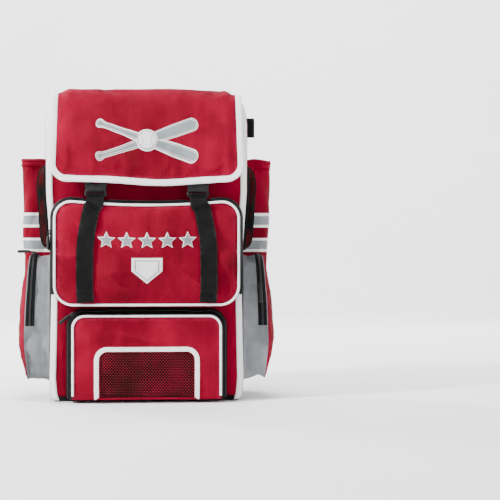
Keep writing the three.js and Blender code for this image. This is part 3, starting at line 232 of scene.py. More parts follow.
class Finish:
    """A node material with one Principled shader."""

    def __init__(self, name):
        self.material = bpy.data.materials.new(name)
        self.material.use_nodes = True
        self.tree = self.material.node_tree
        self.shader = self.tree.nodes["Principled BSDF"]
        self.place = self.node("TexCoord").outputs["Object"]
        cloth = self.node("Attribute", attribute_name="cloth").outputs["Vector"]
        parts = self.node("SeparateXYZ", {"Vector": cloth})
        self.along, self.across, self.worn = parts.outputs

    def node(self, kind, inputs=None, **settings):
        made = self.tree.nodes.new("ShaderNode" + kind)
        for key, value in settings.items():
            setattr(made, key, value)
        for key, value in (inputs or {}).items():
            if isinstance(value, bpy.types.NodeSocket):
                self.tree.links.new(value, made.inputs[key])
            else:
                made.inputs[key].default_value = value
        return made

    def maths(self, kind, a, b=0.0, c=0.0):
        return self.node("Math", {0: a, 1: b, 2: c}, operation=kind).outputs[0]

    def noise(self, scale, detail=3.0, rough=0.55, stretch=(1, 1, 1)):
        place = self.node("Mapping", {"Vector": self.place, "Scale": stretch}).outputs[0]
        settings = {"Vector": place, "Scale": scale, "Detail": detail, "Roughness": rough}
        return self.node("TexNoise", settings).outputs[0]

    def spread(self, value, low, high, start=0.0, end=1.0):
        """Maps a span of values to another."""
        inputs = {"Value": value, "From Min": low, "From Max": high, "To Min": start, "To Max": end}
        return self.node("MapRange", inputs).outputs[0]

    def mix(self, factor, a, b, kind="MIX"):
        made = self.node("Mix", data_type="RGBA", blend_type=kind)
        for socket, value in ((made.inputs[0], factor), (made.inputs[6], a), (made.inputs[7], b)):
            if isinstance(value, bpy.types.NodeSocket):
                self.tree.links.new(value, socket)
            else:
                socket.default_value = value
        return made.outputs[2]

    def steps(self, value, stops):
        """A colour ramp without blending: stops are (place, colour)."""
        made = self.node("ValToRGB", {0: value})
        ramp = made.color_ramp
        ramp.interpolation = "CONSTANT"
        for i, (place, colour) in enumerate(stops):
            element = ramp.elements[i] if i < 2 else ramp.elements.new(place)
            element.position = place
            element.color = colour
        return made.outputs[0]

    def threads(self, pitch, twill=0.0):
        """Height of woven threads, from -1 to 1, with a pitch in millimetres; twill slants the rows."""
        turn = 2 * math.pi / pitch
        slanted = self.maths("MULTIPLY_ADD", self.across, twill, self.along)
        warp = self.maths("SINE", self.maths("MULTIPLY", slanted, turn))
        weft = self.maths("SINE", self.maths("MULTIPLY", self.across, turn))
        return self.maths("MULTIPLY", warp, weft)

    def ribs(self, value, pitch):
        return self.maths("SINE", self.maths("MULTIPLY", value, 2 * math.pi / pitch))

    def set(self, **values):
        for key, value in values.items():
            socket = self.shader.inputs[key.replace("_", " ")]
            if isinstance(value, bpy.types.NodeSocket):
                self.tree.links.new(value, socket)
            else:
                socket.default_value = value
        return self

    def bump(self, *layers):
        """Bumps of (height, distance in metres), each over the one before."""
        normal = None
        for height, distance in layers:
            inputs = {"Height": height, "Distance": distance, "Strength": 1.0}
            if normal is not None:
                inputs["Normal"] = normal
            normal = self.node("Bump", inputs).outputs[0]
        return self.set(Normal=normal)


def woven(name, dark, light, worn, pitch=0.8, rough=0.72, sheen=0.01, ribs=0.0, stripes=None, twill=0.0):
    """A woven cloth whose colour, roughness and bump follow its threads, folds and worn edges; the darker thread
    valleys in its colour are painted shade.
    """
    f = Finish(name)
    cloud = f.noise(5.5, 4.0)
    streaks = f.noise(40.0, 3.0, stretch=(1, 1, 0.25))
    share = f.spread(f.maths("MULTIPLY_ADD", streaks, 0.35, cloud), 0.42, 0.86)
    colour = f.mix(share, dark, light)
    if stripes:
        places, ramp, mask = stripes(f)
        print_colour = f.steps(places, ramp)
        colour = f.mix(f.steps(places, mask), colour, print_colour)
    threads = f.threads(pitch, twill)
    if ribs:
        threads = f.maths("MULTIPLY_ADD", f.ribs(f.along, ribs), 0.9, threads)
    # Painted shade: the colour is darkened in the valleys between the threads and ribs, as well as their bump.
    shade = f.spread(threads, -1.0, 1.0, 0.90, 1.05)
    grey = f.node("CombineColor", {0: shade, 1: shade, 2: shade}).outputs[0]
    colour = f.mix(1.0, colour, grey, "MULTIPLY")
    rubbed = f.maths("MULTIPLY", f.worn, f.spread(f.noise(90.0, 5.0), 0.35, 0.7))
    colour = f.mix(f.maths("MULTIPLY", rubbed, 0.55), colour, worn)
    roughness = f.spread(f.maths("ADD", f.noise(25.0), f.maths("MULTIPLY", rubbed, 0.4)), 0.2, 1.0, rough - 0.08, rough + 0.14)
    f.set(Base_Color=colour, Roughness=roughness, Sheen_Weight=sheen, Sheen_Roughness=0.45)
    f.set(Specular_IOR_Level=0.07, Sheen_Tint=light)
    f.bump((f.noise(160.0, 4.0), 0.0006), (threads, 0.00018))
    return f.material


RED_DARK, RED_LIGHT, RED_WORN = linear(78, 0, 11), linear(142, 0, 40), linear(158, 36, 76)
STRIPE_GREY, STRIPE_WHITE = linear(138, 141, 144), linear(244, 244, 243)


def bands(low, high, pieces):
    """Printed stripes between two heights in mm, from the bottom up: pieces are (kind, share of the height)."""
    colours = {"white": STRIPE_WHITE, "grey": STRIPE_GREY, "red": RED_LIGHT}
    total = sum(share for _, share in pieces)

    def build(f):
        ramp, mask, place = [(0.0, STRIPE_WHITE)], [(0.0, (0, 0, 0, 1))], 0.001
        for kind, share in pieces:
            ramp.append((place, colours[kind]))
            mask.append((place, (0, 0, 0, 1) if kind == "red" else (1, 1, 1, 1)))
            place += 0.998 * share / total
        mask.append((place, (0, 0, 0, 1)))
        return f.spread(f.across, low, high), ramp, mask

    return build


SLEEVE_BANDS = [("white", 5.5), ("grey", 17.5), ("white", 5), ("red", 21), ("white", 5.5), ("grey", 17.5), ("white", 6)]
STRAP_BANDS = [("white", 5), ("grey", 22), ("white", 5), ("red", 17), ("white", 5), ("grey", 22), ("white", 5)]

red = woven("red_polyester", RED_DARK, RED_LIGHT, RED_WORN, twill=0.5)
red_ribbed = woven("red_ribbed_polyester", RED_DARK, RED_LIGHT, RED_WORN, ribs=4.2)
red_sleeve = woven("red_striped_sleeve", RED_DARK, RED_LIGHT, RED_WORN, stripes=bands(286, 364, SLEEVE_BANDS))
red_strap = {
    "left": woven("red_striped_strap_left", RED_DARK, RED_LIGHT, RED_WORN, twill=1.0, stripes=bands(365, 441, STRAP_BANDS)),
    "right": woven("red_striped_strap_right", RED_DARK, RED_LIGHT, RED_WORN, twill=1.0, stripes=bands(373, 455, STRAP_BANDS)),
}
grey = woven("grey_polyester", linear(88, 91, 94), linear(134, 137, 140), linear(205, 206, 208), sheen=0.15)
white = woven("white_binding", linear(226, 226, 224), linear(246, 246, 245), linear(255, 255, 255), pitch=1.1, rough=0.5)
base_cloth = woven("black_coated_base", linear(8, 8, 9), linear(20, 20, 21), linear(60, 60, 62), pitch=1.6, rough=0.5, sheen=0.02)
zip_tape = woven("black_zip_tape", linear(10, 10, 11), linear(22, 22, 23), linear(60, 60, 62), pitch=0.9, rough=0.7, sheen=0.02)
grey_twill = woven("grey_applique_twill", linear(112, 120, 122), linear(142, 151, 153), linear(210, 214, 215), twill=1.0)
white_twill = woven("white_applique_twill", linear(222, 224, 225), linear(242, 243, 243), linear(255, 255, 255), twill=1.0)
red_thread = woven("red_thread", linear(128, 4, 26), linear(172, 16, 48), RED_WORN, pitch=0.5, rough=0.5)
white_thread = woven("white_thread", linear(208, 208, 206), linear(240, 240, 238), linear(255, 255, 255), pitch=0.5, rough=0.5)
black_thread = woven("black_thread", linear(20, 20, 20), linear(42, 42, 43), linear(80, 80, 80), pitch=0.5, rough=0.5)


def make_webbing():
    f = Finish("black_webbing")
    cloud = f.noise(30.0, 4.0)
    colour = f.mix(cloud, linear(1, 1, 1), linear(6, 6, 7))
    rows = f.ribs(f.along, 1.7)
    cords = f.ribs(f.maths("MULTIPLY_ADD", f.ribs(f.along, 3.4), 0.35, f.across), 2.1)
    weave = f.maths("MULTIPLY", rows, cords)
    edge = f.spread(f.maths("ABSOLUTE", f.across), 11.5, 16.0)
    rubbed = f.maths("MULTIPLY", edge, f.spread(f.noise(120.0, 4.0), 0.4, 0.65))
    colour = f.mix(f.maths("MULTIPLY", rubbed, 0.4), colour, linear(62, 62, 64))
    f.set(Base_Color=colour, Roughness=f.spread(f.noise(45.0), 0.3, 0.7, 0.6, 0.82))
    f.set(Sheen_Weight=0.0, Sheen_Roughness=0.5, Specular_IOR_Level=0.12)
    return f.bump((f.noise(50.0), 0.0006), (weave, 0.00035)).material


def make_plastic():
    f = Finish("black_moulded_plastic")
    grain = f.node("TexVoronoi", {"Vector": f.place, "Scale": 1400.0}).outputs["Distance"]
    scuffs = f.noise(60.0, 6.0, 0.7, stretch=(1, 1, 4))
    colour = f.mix(f.spread(scuffs, 0.5, 0.75), linear(4, 4, 5), linear(16, 16, 17))
    edges = f.spread(f.node("NewGeometry").outputs["Pointiness"], 0.52, 0.6)
    colour = f.mix(f.maths("MULTIPLY", edges, 0.2), colour, linear(60, 60, 62))
    f.set(Base_Color=colour, Roughness=f.spread(scuffs, 0.3, 0.8, 0.4, 0.6), Specular_IOR_Level=0.3)
    return f.bump((scuffs, 0.00015), (grain, 0.00008)).material


def make_net():
    f = Finish("black_polyester_net")
    fuzz = f.noise(500.0, 4.0)
    colour = f.mix(fuzz, linear(3, 3, 3), linear(14, 13, 13))
    f.set(Base_Color=colour, Roughness=f.spread(fuzz, 0.3, 0.7, 0.7, 0.9), Specular_IOR_Level=0.05)
    return f.bump((f.noise(1200.0), 0.0002)).material


def make_spacer():
    f = Finish("black_spacer_mesh")
    place = f.node("CombineXYZ", {"X": f.along, "Y": f.across}).outputs[0]
    cells = f.node("TexVoronoi", {"Vector": place, "Scale": 0.36, "Randomness": 0.15}, feature="DISTANCE_TO_EDGE")
    holes = f.spread(cells.outputs["Distance"], 0.05, 0.32)
    cloud = f.noise(12.0, 4.0)
    threads = f.mix(cloud, linear(15, 15, 16), linear(28, 28, 29))
    # Painted shade: the holes in the mesh are coloured near black, darker than its threads, as shade inside them.
    colour = f.mix(holes, threads, linear(4, 4, 4))
    worn = f.mix(f.maths("MULTIPLY", f.worn, 0.25), colour, linear(60, 60, 62))
    f.set(Base_Color=worn, Roughness=f.spread(cloud, 0.3, 0.7, 0.75, 0.92), Specular_IOR_Level=0.15)
    return f.bump((f.noise(60.0), 0.0008), (f.maths("SUBTRACT", 1.0, holes), 0.0007)).material


def make_coil():
    f = Finish("black_nylon_coil")
    cloud = f.noise(220.0, 3.0)
    colour = f.mix(cloud, linear(12, 12, 13), linear(30, 30, 31))
    f.set(Base_Color=colour, Roughness=f.spread(cloud, 0.3, 0.7, 0.45, 0.6), Specular_IOR_Level=0.3)
    return f.bump((f.noise(900.0), 0.00005)).material


def make_lining():
    f = Finish("dark_red_lining")
    cloud = f.noise(14.0, 4.0)
    colour = f.mix(f.spread(cloud, 0.35, 0.65), linear(150, 0, 24), linear(236, 8, 76))
    f.set(Base_Color=colour, Roughness=f.spread(cloud, 0.3, 0.7, 0.6, 0.8), Sheen_Weight=0.05)
    return f.bump((f.noise(80.0), 0.0008), (f.threads(0.7), 0.0001)).material


def make_net_backing():
    """Red cloth seen through a net from afar: black with small dark red cells."""
    f = Finish("red_behind_net")
    place = f.node("CombineXYZ", {"X": f.along, "Y": f.across}).outputs[0]
    cells = f.node("TexVoronoi", {"Vector": place, "Scale": 0.34, "Randomness": 0.2}, feature="DISTANCE_TO_EDGE")
    holes = f.spread(cells.outputs["Distance"], 0.12, 0.3)
    cloud = f.spread(f.noise(18.0, 4.0), 0.4, 0.65)
    colour = f.mix(f.maths("MULTIPLY", holes, cloud), linear(3, 3, 3), linear(150, 0, 16))
    f.set(Base_Color=colour, Roughness=f.spread(cloud, 0.0, 1.0, 0.7, 0.9), Specular_IOR_Level=0.1)
    return f.bump((f.noise(60.0), 0.0006), (holes, 0.0004)).material


webbing_finish, plastic, net_finish, net_backing = make_webbing(), make_plastic(), make_net(), make_net_backing()
spacer, coil_finish, lining = make_spacer(), make_coil(), make_lining()


# Making pieces

class Form:
    """Collects points, faces, cloth coordinates and materials for one piece."""

    def __init__(self, *finishes):
        self.finishes = finishes
        self.points, self.faces, self.cloth, self.kinds = [], [], [], []
        self.count = 0

    def add(self, points, faces, along=0.0, across=0.0, worn=0.0, finish=0):
        points = np.asarray(points, float)
        shape = points.shape[:-1]
        points = points.reshape(-1, 3)
        cloth = [np.broadcast_to(np.asarray(value, float), shape).ravel() for value in (along, across, worn)]
        self.points.append(points)
        self.cloth.append(np.stack(cloth, 1))
        for group in faces if isinstance(faces, list) else [faces]:
            self.faces.append(np.asarray(group) + self.count)
            self.kinds.append(np.full(len(group), finish))
        self.count += len(points)

    def piece(self, name, replaced=(), wall=0.0, inward=-1, sharp=40, weld=False):
        mesh = bpy.data.meshes.new(name)
        points = np.concatenate(self.points) * MM
        loops = np.concatenate([f.ravel() for f in self.faces]).astype(np.int32)
        sizes = np.concatenate([np.full(len(f), f.shape[1]) for f in self.faces])
        starts = np.concatenate([[0], np.cumsum(sizes)[:-1]]).astype(np.int32)
        mesh.vertices.add(len(points))
        mesh.vertices.foreach_set("co", points.ravel())
        mesh.loops.add(len(loops))
        mesh.loops.foreach_set("vertex_index", loops)
        mesh.polygons.add(len(sizes))
        mesh.polygons.foreach_set("loop_start", starts)
        for finish in self.finishes:
            mesh.materials.append(finish)
        mesh.polygons.foreach_set("material_index", np.concatenate(self.kinds).astype(np.int32))
        mesh.attributes.new("cloth", "FLOAT_VECTOR", "POINT")
        mesh.attributes["cloth"].data.foreach_set("vector", np.concatenate(self.cloth).ravel())
        mesh.update(calc_edges=True)
        shaped = bmesh.new()
        shaped.from_mesh(mesh)
        if weld:
            bmesh.ops.remove_doubles(shaped, verts=shaped.verts, dist=0.02 * MM)
        bmesh.ops.recalc_face_normals(shaped, faces=shaped.faces)
        shaped.to_mesh(mesh)
        shaped.free()
        mesh.validate()
        mesh.shade_smooth()
        mesh.set_sharp_from_angle(angle=math.radians(sharp))
        made = bpy.data.objects.new(name, mesh)
        bpy.context.scene.collection.objects.link(made)
        if wall:
            solid = made.modifiers.new("wall", "SOLIDIFY")
            solid.thickness = wall * MM
            solid.offset = inward
        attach(made, "root")
        if replaced:
            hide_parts(*replaced)
        return made


def sweep(form, line, facing, profile, closed=False, finish=0, wide=1.0, high=1.0, worn=0.0):
    """A profile of (across, lift) run along a line; wide and high scale it at each point of the line."""
    line = np.asarray(line, float)
    _, sides, lifts = frames(line, facing, closed)
    wide = np.broadcast_to(wide, len(line))[:, None, None]
    high = np.broadcast_to(high, len(line))[:, None, None]
    rings = (
        line[:, None]
        + sides[:, None] * profile[None, :, :1] * wide
        + lifts[:, None] * profile[None, :, 1:] * high
    )
    along = np.broadcast_to(lengths_of(line)[:, None], rings.shape[:2])
    across = np.broadcast_to(profile[None, :, 0], rings.shape[:2])
    worn = np.broadcast_to(np.asarray(worn, float), rings.shape[:2])
    count = len(profile)
    faces = [quads(len(line), count, closed, True)]
    form.add(rings, faces, along, across, worn, finish)
    if not closed:
        for ring in (rings[0], rings[-1]):
            fan = np.stack([np.full(count, count), np.arange(count), (np.arange(count) + 1) % count], 1)
            form.add(np.vstack([ring, ring.mean(0)]), fan, 0, 0, 0.6, finish)


def settled(grid, held, outward_of, pressure=4.0, grow=0.04, cap=5.0):
    """The grid after a short cloth simulation: its held points stay, and the rest, a share grow too long
    for the room between them, is blown up from inside and buckles."""
    flat = grid.reshape(-1, 3)
    faces = quads(*grid.shape[:2])
    normals = grid_normals(grid)
    if ((grid - outward_of) * normals).sum(-1).mean() < 0:
        faces = faces[:, ::-1]
    mesh = bpy.data.meshes.new("cloth_trial")
    mesh.from_pydata((flat * MM).tolist(), [], faces.tolist())
    trial = bpy.data.objects.new("cloth_trial", mesh)
    scene = bpy.context.scene
    scene.collection.objects.link(trial)
    group = trial.vertex_groups.new(name="held")
    group.add(np.flatnonzero(held.ravel()).tolist(), 1.0, "REPLACE")
    cloth = trial.modifiers.new("cloth", "CLOTH")
    settings = cloth.settings
    settings.quality = 4
    settings.mass = 0.15
    settings.tension_stiffness = settings.compression_stiffness = 15
    settings.shear_stiffness = 8
    settings.bending_stiffness = 0.4
    settings.vertex_group_mass = "held"
    settings.use_pressure = True
    settings.uniform_pressure_force = pressure
    settings.shrink_min = -grow
    settings.effector_weights.gravity = 0
    cloth.collision_settings.use_collision = False
    cloth.point_cache.frame_start, cloth.point_cache.frame_end = 1, 16
    for step in range(1, 17):
        scene.frame_set(step)
    shaped = trial.evaluated_get(bpy.context.evaluated_depsgraph_get()).to_mesh()
    after = np.empty(len(flat) * 3)
    shaped.vertices.foreach_get("co", after)
    bpy.data.objects.remove(trial)
    bpy.data.meshes.remove(mesh)
    scene.frame_set(1)
    moves = (after.reshape(grid.shape) / MM - grid)
    size = np.maximum(np.linalg.norm(moves, axis=-1, keepdims=True), 1e-6)
    moves *= cap * np.tanh(size / cap) / size
    for _ in range(2):
        inner = moves[:-2, 1:-1] + moves[2:, 1:-1] + moves[1:-1, :-2] + moves[1:-1, 2:]
        moves[1:-1, 1:-1] = 0.5 * moves[1:-1, 1:-1] + 0.125 * inner
    moves[held] = 0
    return grid + moves


def ring_profile(width, height, count=10, square=1.0):
    """A closed profile between a circle (square 1) and a rounded box (below 1)."""
    turn = np.linspace(0, 2 * math.pi, count, endpoint=False)
    x, y = np.cos(turn), np.sin(turn)
    return np.stack([
        width / 2 * np.sign(x) * np.abs(x) ** square,
        height / 2 * np.sign(y) * np.abs(y) ** square,
    ], 1)


def hem_profile(width, thickness, seam=-0.62):
    """A folded tape: full over the edge that it wraps, pressed down at its row of stitches."""
    profile = ring_profile(width, thickness, 20, 0.62)
    share = profile[:, 0] / (width / 2)
    pressed = 1 - 0.34 * np.exp(-(((share - seam) / 0.12) ** 2)) - 0.16 * np.exp(-(((share + 1) / 0.2) ** 2))
    profile[:, 1] *= pressed
    return profile


WEB_PROFILE = ring_profile(WEB_WIDTH, WEB, 20, 0.32)


def stitches(form, line, facing, pitch=3.4, length=2.5, width=0.75, finish=0, closed=False):
    """A row of stitches on a line of points."""
    line = np.asarray(line, float)
    facing = np.broadcast_to(np.asarray(facing, float), line.shape)
    if closed:
        line, facing = np.vstack([line, line[:1]]), np.vstack([facing, facing[:1]])
    total = lengths_of(line)[-1]
    count = max(int(total / pitch), 2)
    dense = spaced(line, count * 2 + 1)
    along = lengths_of(line)
    at = np.linspace(0, total, count * 2 + 1)
    facing = np.stack([np.interp(at, along, column) for column in facing.T], 1)
    tangents, sides, lifts = frames(dense, facing)
    place, tangents, sides, lifts = (a[1::2][:, None] for a in (dense, tangents, sides, lifts))
    shape = np.array([(-1, 0, -0.4), (-0.55, 1, 0), (-0.55, 0, 1), (-0.55, -1, 0), (0.55, 1, 0), (0.55, 0, 1), (0.55, -1, 0), (1, 0, -0.4)])
    points = (
        place
        + tangents * shape[:, :1] * length / 2
        + sides * shape[:, 1:2] * width / 2
        + lifts * shape[:, 2:] * width / 2
    )
    start = np.arange(len(place))[:, None] * len(shape)
    four = np.array([(1, 4, 5, 2), (2, 5, 6, 3), (1, 3, 6, 4)])
    three = np.array([(0, 1, 2), (0, 2, 3), (0, 3, 1), (7, 5, 4), (7, 6, 5), (7, 4, 6)])
    faces = [(four[None] + start[:, :, None]).reshape(-1, 4), (three[None] + start[:, :, None]).reshape(-1, 3)]
    form.add(points.reshape(-1, 3), faces, 0, 0, 0, finish)


def disc(outline, rings, centre=None):
    """Points and faces that fill a loop toward its centre, and each point's share of the way out."""
    centre = outline.mean(0) if centre is None else np.asarray(centre, float)
    out = 1 - np.linspace(0, 1, rings + 1)[:-1] ** 0.8
    points = centre + (outline - centre)[None] * out[:, None, None]
    count = len(outline)
    last = (rings - 1) * count
    tip = np.stack([np.full(count, rings * count), last + (np.arange(count) + 1) % count, last + np.arange(count)], 1)
    share = np.broadcast_to(out[:, None], (rings, count)).ravel()
    points = np.vstack([points.reshape(-1, 2), centre])
    return points, [quads(rings, count, False, True), tip], np.append(share, 0.0)


def outward(outline, points, centre):
    """How far out points are between a loop's centre (0) and the loop (1)."""
    rim = outline - centre
    angles = np.arctan2(rim[:, 1], rim[:, 0])
    order = np.argsort(angles)
    radii = np.linalg.norm(rim, axis=1)[order]
    angles = angles[order]
    angles = np.concatenate([angles[-1:] - 2 * math.pi, angles, angles[:1] + 2 * math.pi])
    radii = np.concatenate([radii[-1:], radii, radii[:1]])
    away = np.asarray(points, float) - centre
    reach = np.interp(np.arctan2(away[..., 1], away[..., 0]), angles, radii)
    return np.linalg.norm(away, axis=-1) / reach


def plate_form(form, outlines, thickness, bevel, place, finish=0):
    """A moulded plate with rounded edges: outlines are loops of (x, z), holes after the first; place turns
    (x, y, z) into points of the bag."""
    data = bpy.data.curves.new("outline", "CURVE")
    data.dimensions = "2D"
    data.fill_mode = "BOTH"
    for outline in outlines:
        spline = data.splines.new("POLY")
        spline.points.add(len(outline) - 1)
        for point, (x, z) in zip(spline.points, outline):
            point.co = (x, z, 0, 1)
        spline.use_cyclic_u = True
    data.extrude = thickness / 2 - bevel
    data.bevel_depth = bevel
    data.bevel_resolution = 2
    data.offset = -bevel
    holder = bpy.data.objects.new("outline", data)
    bpy.context.scene.collection.objects.link(holder)
    shaped = bpy.data.meshes.new_from_object(holder.evaluated_get(bpy.context.evaluated_depsgraph_get()))
    flat = np.array([v.co for v in shaped.vertices], float).reshape(-1, 3)
    points = place(flat[:, [0, 2, 1]])
    faces = {}
    for polygon in shaped.polygons:
        faces.setdefault(len(polygon.vertices), []).append(list(polygon.vertices))
    form.add(points, [np.array(group) for group in faces.values()], flat[:, 0], flat[:, 1], 0, finish)
    bpy.data.objects.remove(holder)
    bpy.data.curves.remove(data)
    bpy.data.meshes.remove(shaped)


def moved(x, y, z):
    """A placing function that only moves."""
    return lambda points: points + np.array([x, y, z])


# Main body and base

def body_half(z):
    return BODY_WIDTH / 2 * level(np.asarray(z) / BODY_HEIGHT, BODY_ROWS[:, 0], BODY_ROWS[:, 1], 0.012)


def body_back(z):
    return BODY_DEPTH / 2 * level(np.asarray(z) / BODY_HEIGHT, BODY_ROWS[:, 0], BODY_ROWS[:, 2], 0.012)


def body_ring(z, offset=0.0, across=66, up=26):
    half, back = float(body_half(z)) + offset, float(body_back(z)) + offset
    corner = BODY_CORNER + offset
    return rounded(-half, half, -back, back, corner, corner, across, up, 10)


def make_body():
    heights = np.linspace(BASE_RISE + GAP, BODY_HEIGHT * BODY_ROWS[-1, 0], 104)
    rings = np.array([body_ring(z) for z in heights])
    grid = np.dstack([rings, np.broadcast_to(heights[:, None], rings.shape[:2])])
    normals = grid_normals(grid, True)
    middle = grid.mean(1, keepdims=True)
    normals *= np.sign(((grid - middle) * normals).sum(-1, keepdims=True))
    x, y, z = np.moveaxis(grid, -1, 0)
    strips = fade(np.abs(x) - 151, 5) * fade(172 - np.abs(x), 6) * (y < 0) * fade(205 - z, 20)
    under_flap = (y < 0) * fade(z - 392, 15) * fade(180 - np.abs(x), 20)
    upper_side = fade(z - 470, 30) * (np.abs(y) < 75)
    slanted = grid @ np.array([[1, 0, 0.9], [0, 1, 0], [-0.35, 0, 1]])
    lift = strips * (3.4 * creases(slanted, np.array([26, 60, 12]), 3) - 0.6 * noise(grid, 14, 8))
    lift = lift + under_flap * 1.2 * noise(grid, np.array([40, 40, 25]), 5)
    lift = lift + upper_side * 1.5 * noise(grid, 30, 6)
    grid = grid + normals * lift[..., None]
    around = lengths_of(rings[60])
    form = Form(red)
    worn = np.clip(1 - np.abs(z - 578) / 6, 0, 1)
    form.add(grid, quads(len(heights), rings.shape[1], False, True), around[None] * np.ones_like(z), z, worn)
    form.piece("body_cloth", ["main_body"], wall=CLOTH)

    base = Form(base_cloth, black_thread)
    steps = [(0.0, -30), (0.0, -5), (0.6, -1.6), (2.2, -0.4), (5, 0), (8.6, 0), (9.6, -0.3), (BASE_RISE, -1.1)]
    rows = [np.c_[body_ring(z, out, 40, 20), np.full(len(body_ring(z, out, 40, 20)), z)] for z, out in steps]
    rows.insert(0, rows[0] * np.array([0.02, 0.02, 1]))
    rows += [np.c_[body_ring(z, -CLOTH, 40, 20), np.full(len(rows[0]), z)] for z in (9.2, 3.4)]
    rows.append(rows[-1] * np.array([0.02, 0.02, 1]))
    rows = np.array(rows)
    base.add(rows, quads(len(rows), rows.shape[1], True, True), rows[..., 0], rows[..., 1] + rows[..., 2], 0.4)
    line = rows[5] * np.array([1, 1, 1.0])
    stitches(base, line, unit(line * np.array([1, 1, 0])), finish=1, closed=True)
    base.piece("base_shell", ["base_tray"], sharp=60)


def make_edge_tapes():
    for end, width, label in ((-1, 14.0, "front"), (1, 16.0, "back")):
        for word, side in SIDES.items():
            form = Form(white, white_thread)
            heights = np.linspace(2, BODY_HEIGHT - 1, 96)
            flat = width - BODY_CORNER
            stop = math.acos((BODY_CORNER - 6.5) / BODY_CORNER)
            shares = np.linspace(0, 1, 15)
            rows = []
            for z in heights:
                half, back = float(body_half(z)), float(body_back(z))
                thick = GAP + TAPE * (1 - 0.75 * np.abs(2 * shares - 1) ** 8)
                thick = thick + 0.25 * noise(np.c_[shares * 20, np.full(15, z), np.full(15, side)], np.array([9, 7, 9]), 4)
                angles = np.maximum((shares * width - flat) / (width - flat), 0) * stop
                radius = BODY_CORNER + thick
                x = half - BODY_CORNER + radius * np.sin(angles) - np.maximum(flat - shares * width, 0)
                y = back - BODY_CORNER + radius * np.cos(angles)
                rows.append(np.c_[side * x, end * y, np.full(15, z)])
            grid = np.array(rows)
            across = np.broadcast_to(shares * width, grid.shape[:2])
            worn = np.broadcast_to(np.abs(2 * shares - 1) ** 6, grid.shape[:2])
            form.add(grid, quads(*grid.shape[:2]), heights[:, None], across, worn)
            out = unit(grid[:, 2] - grid[:, 2] * np.array([0, 0, 1]) * 1.0 - np.array([0, 0, 0]))
            facing = np.broadcast_to(np.array([side * 0.2, end, 0]), out.shape)
            stitches(form, grid[:, 2] + facing * 0.1, facing, finish=1)
            form.piece(f"{label}_tape_{word}", [f"{label}_edge_tape_{word}"], wall=TAPE * 0.8)


# Pockets

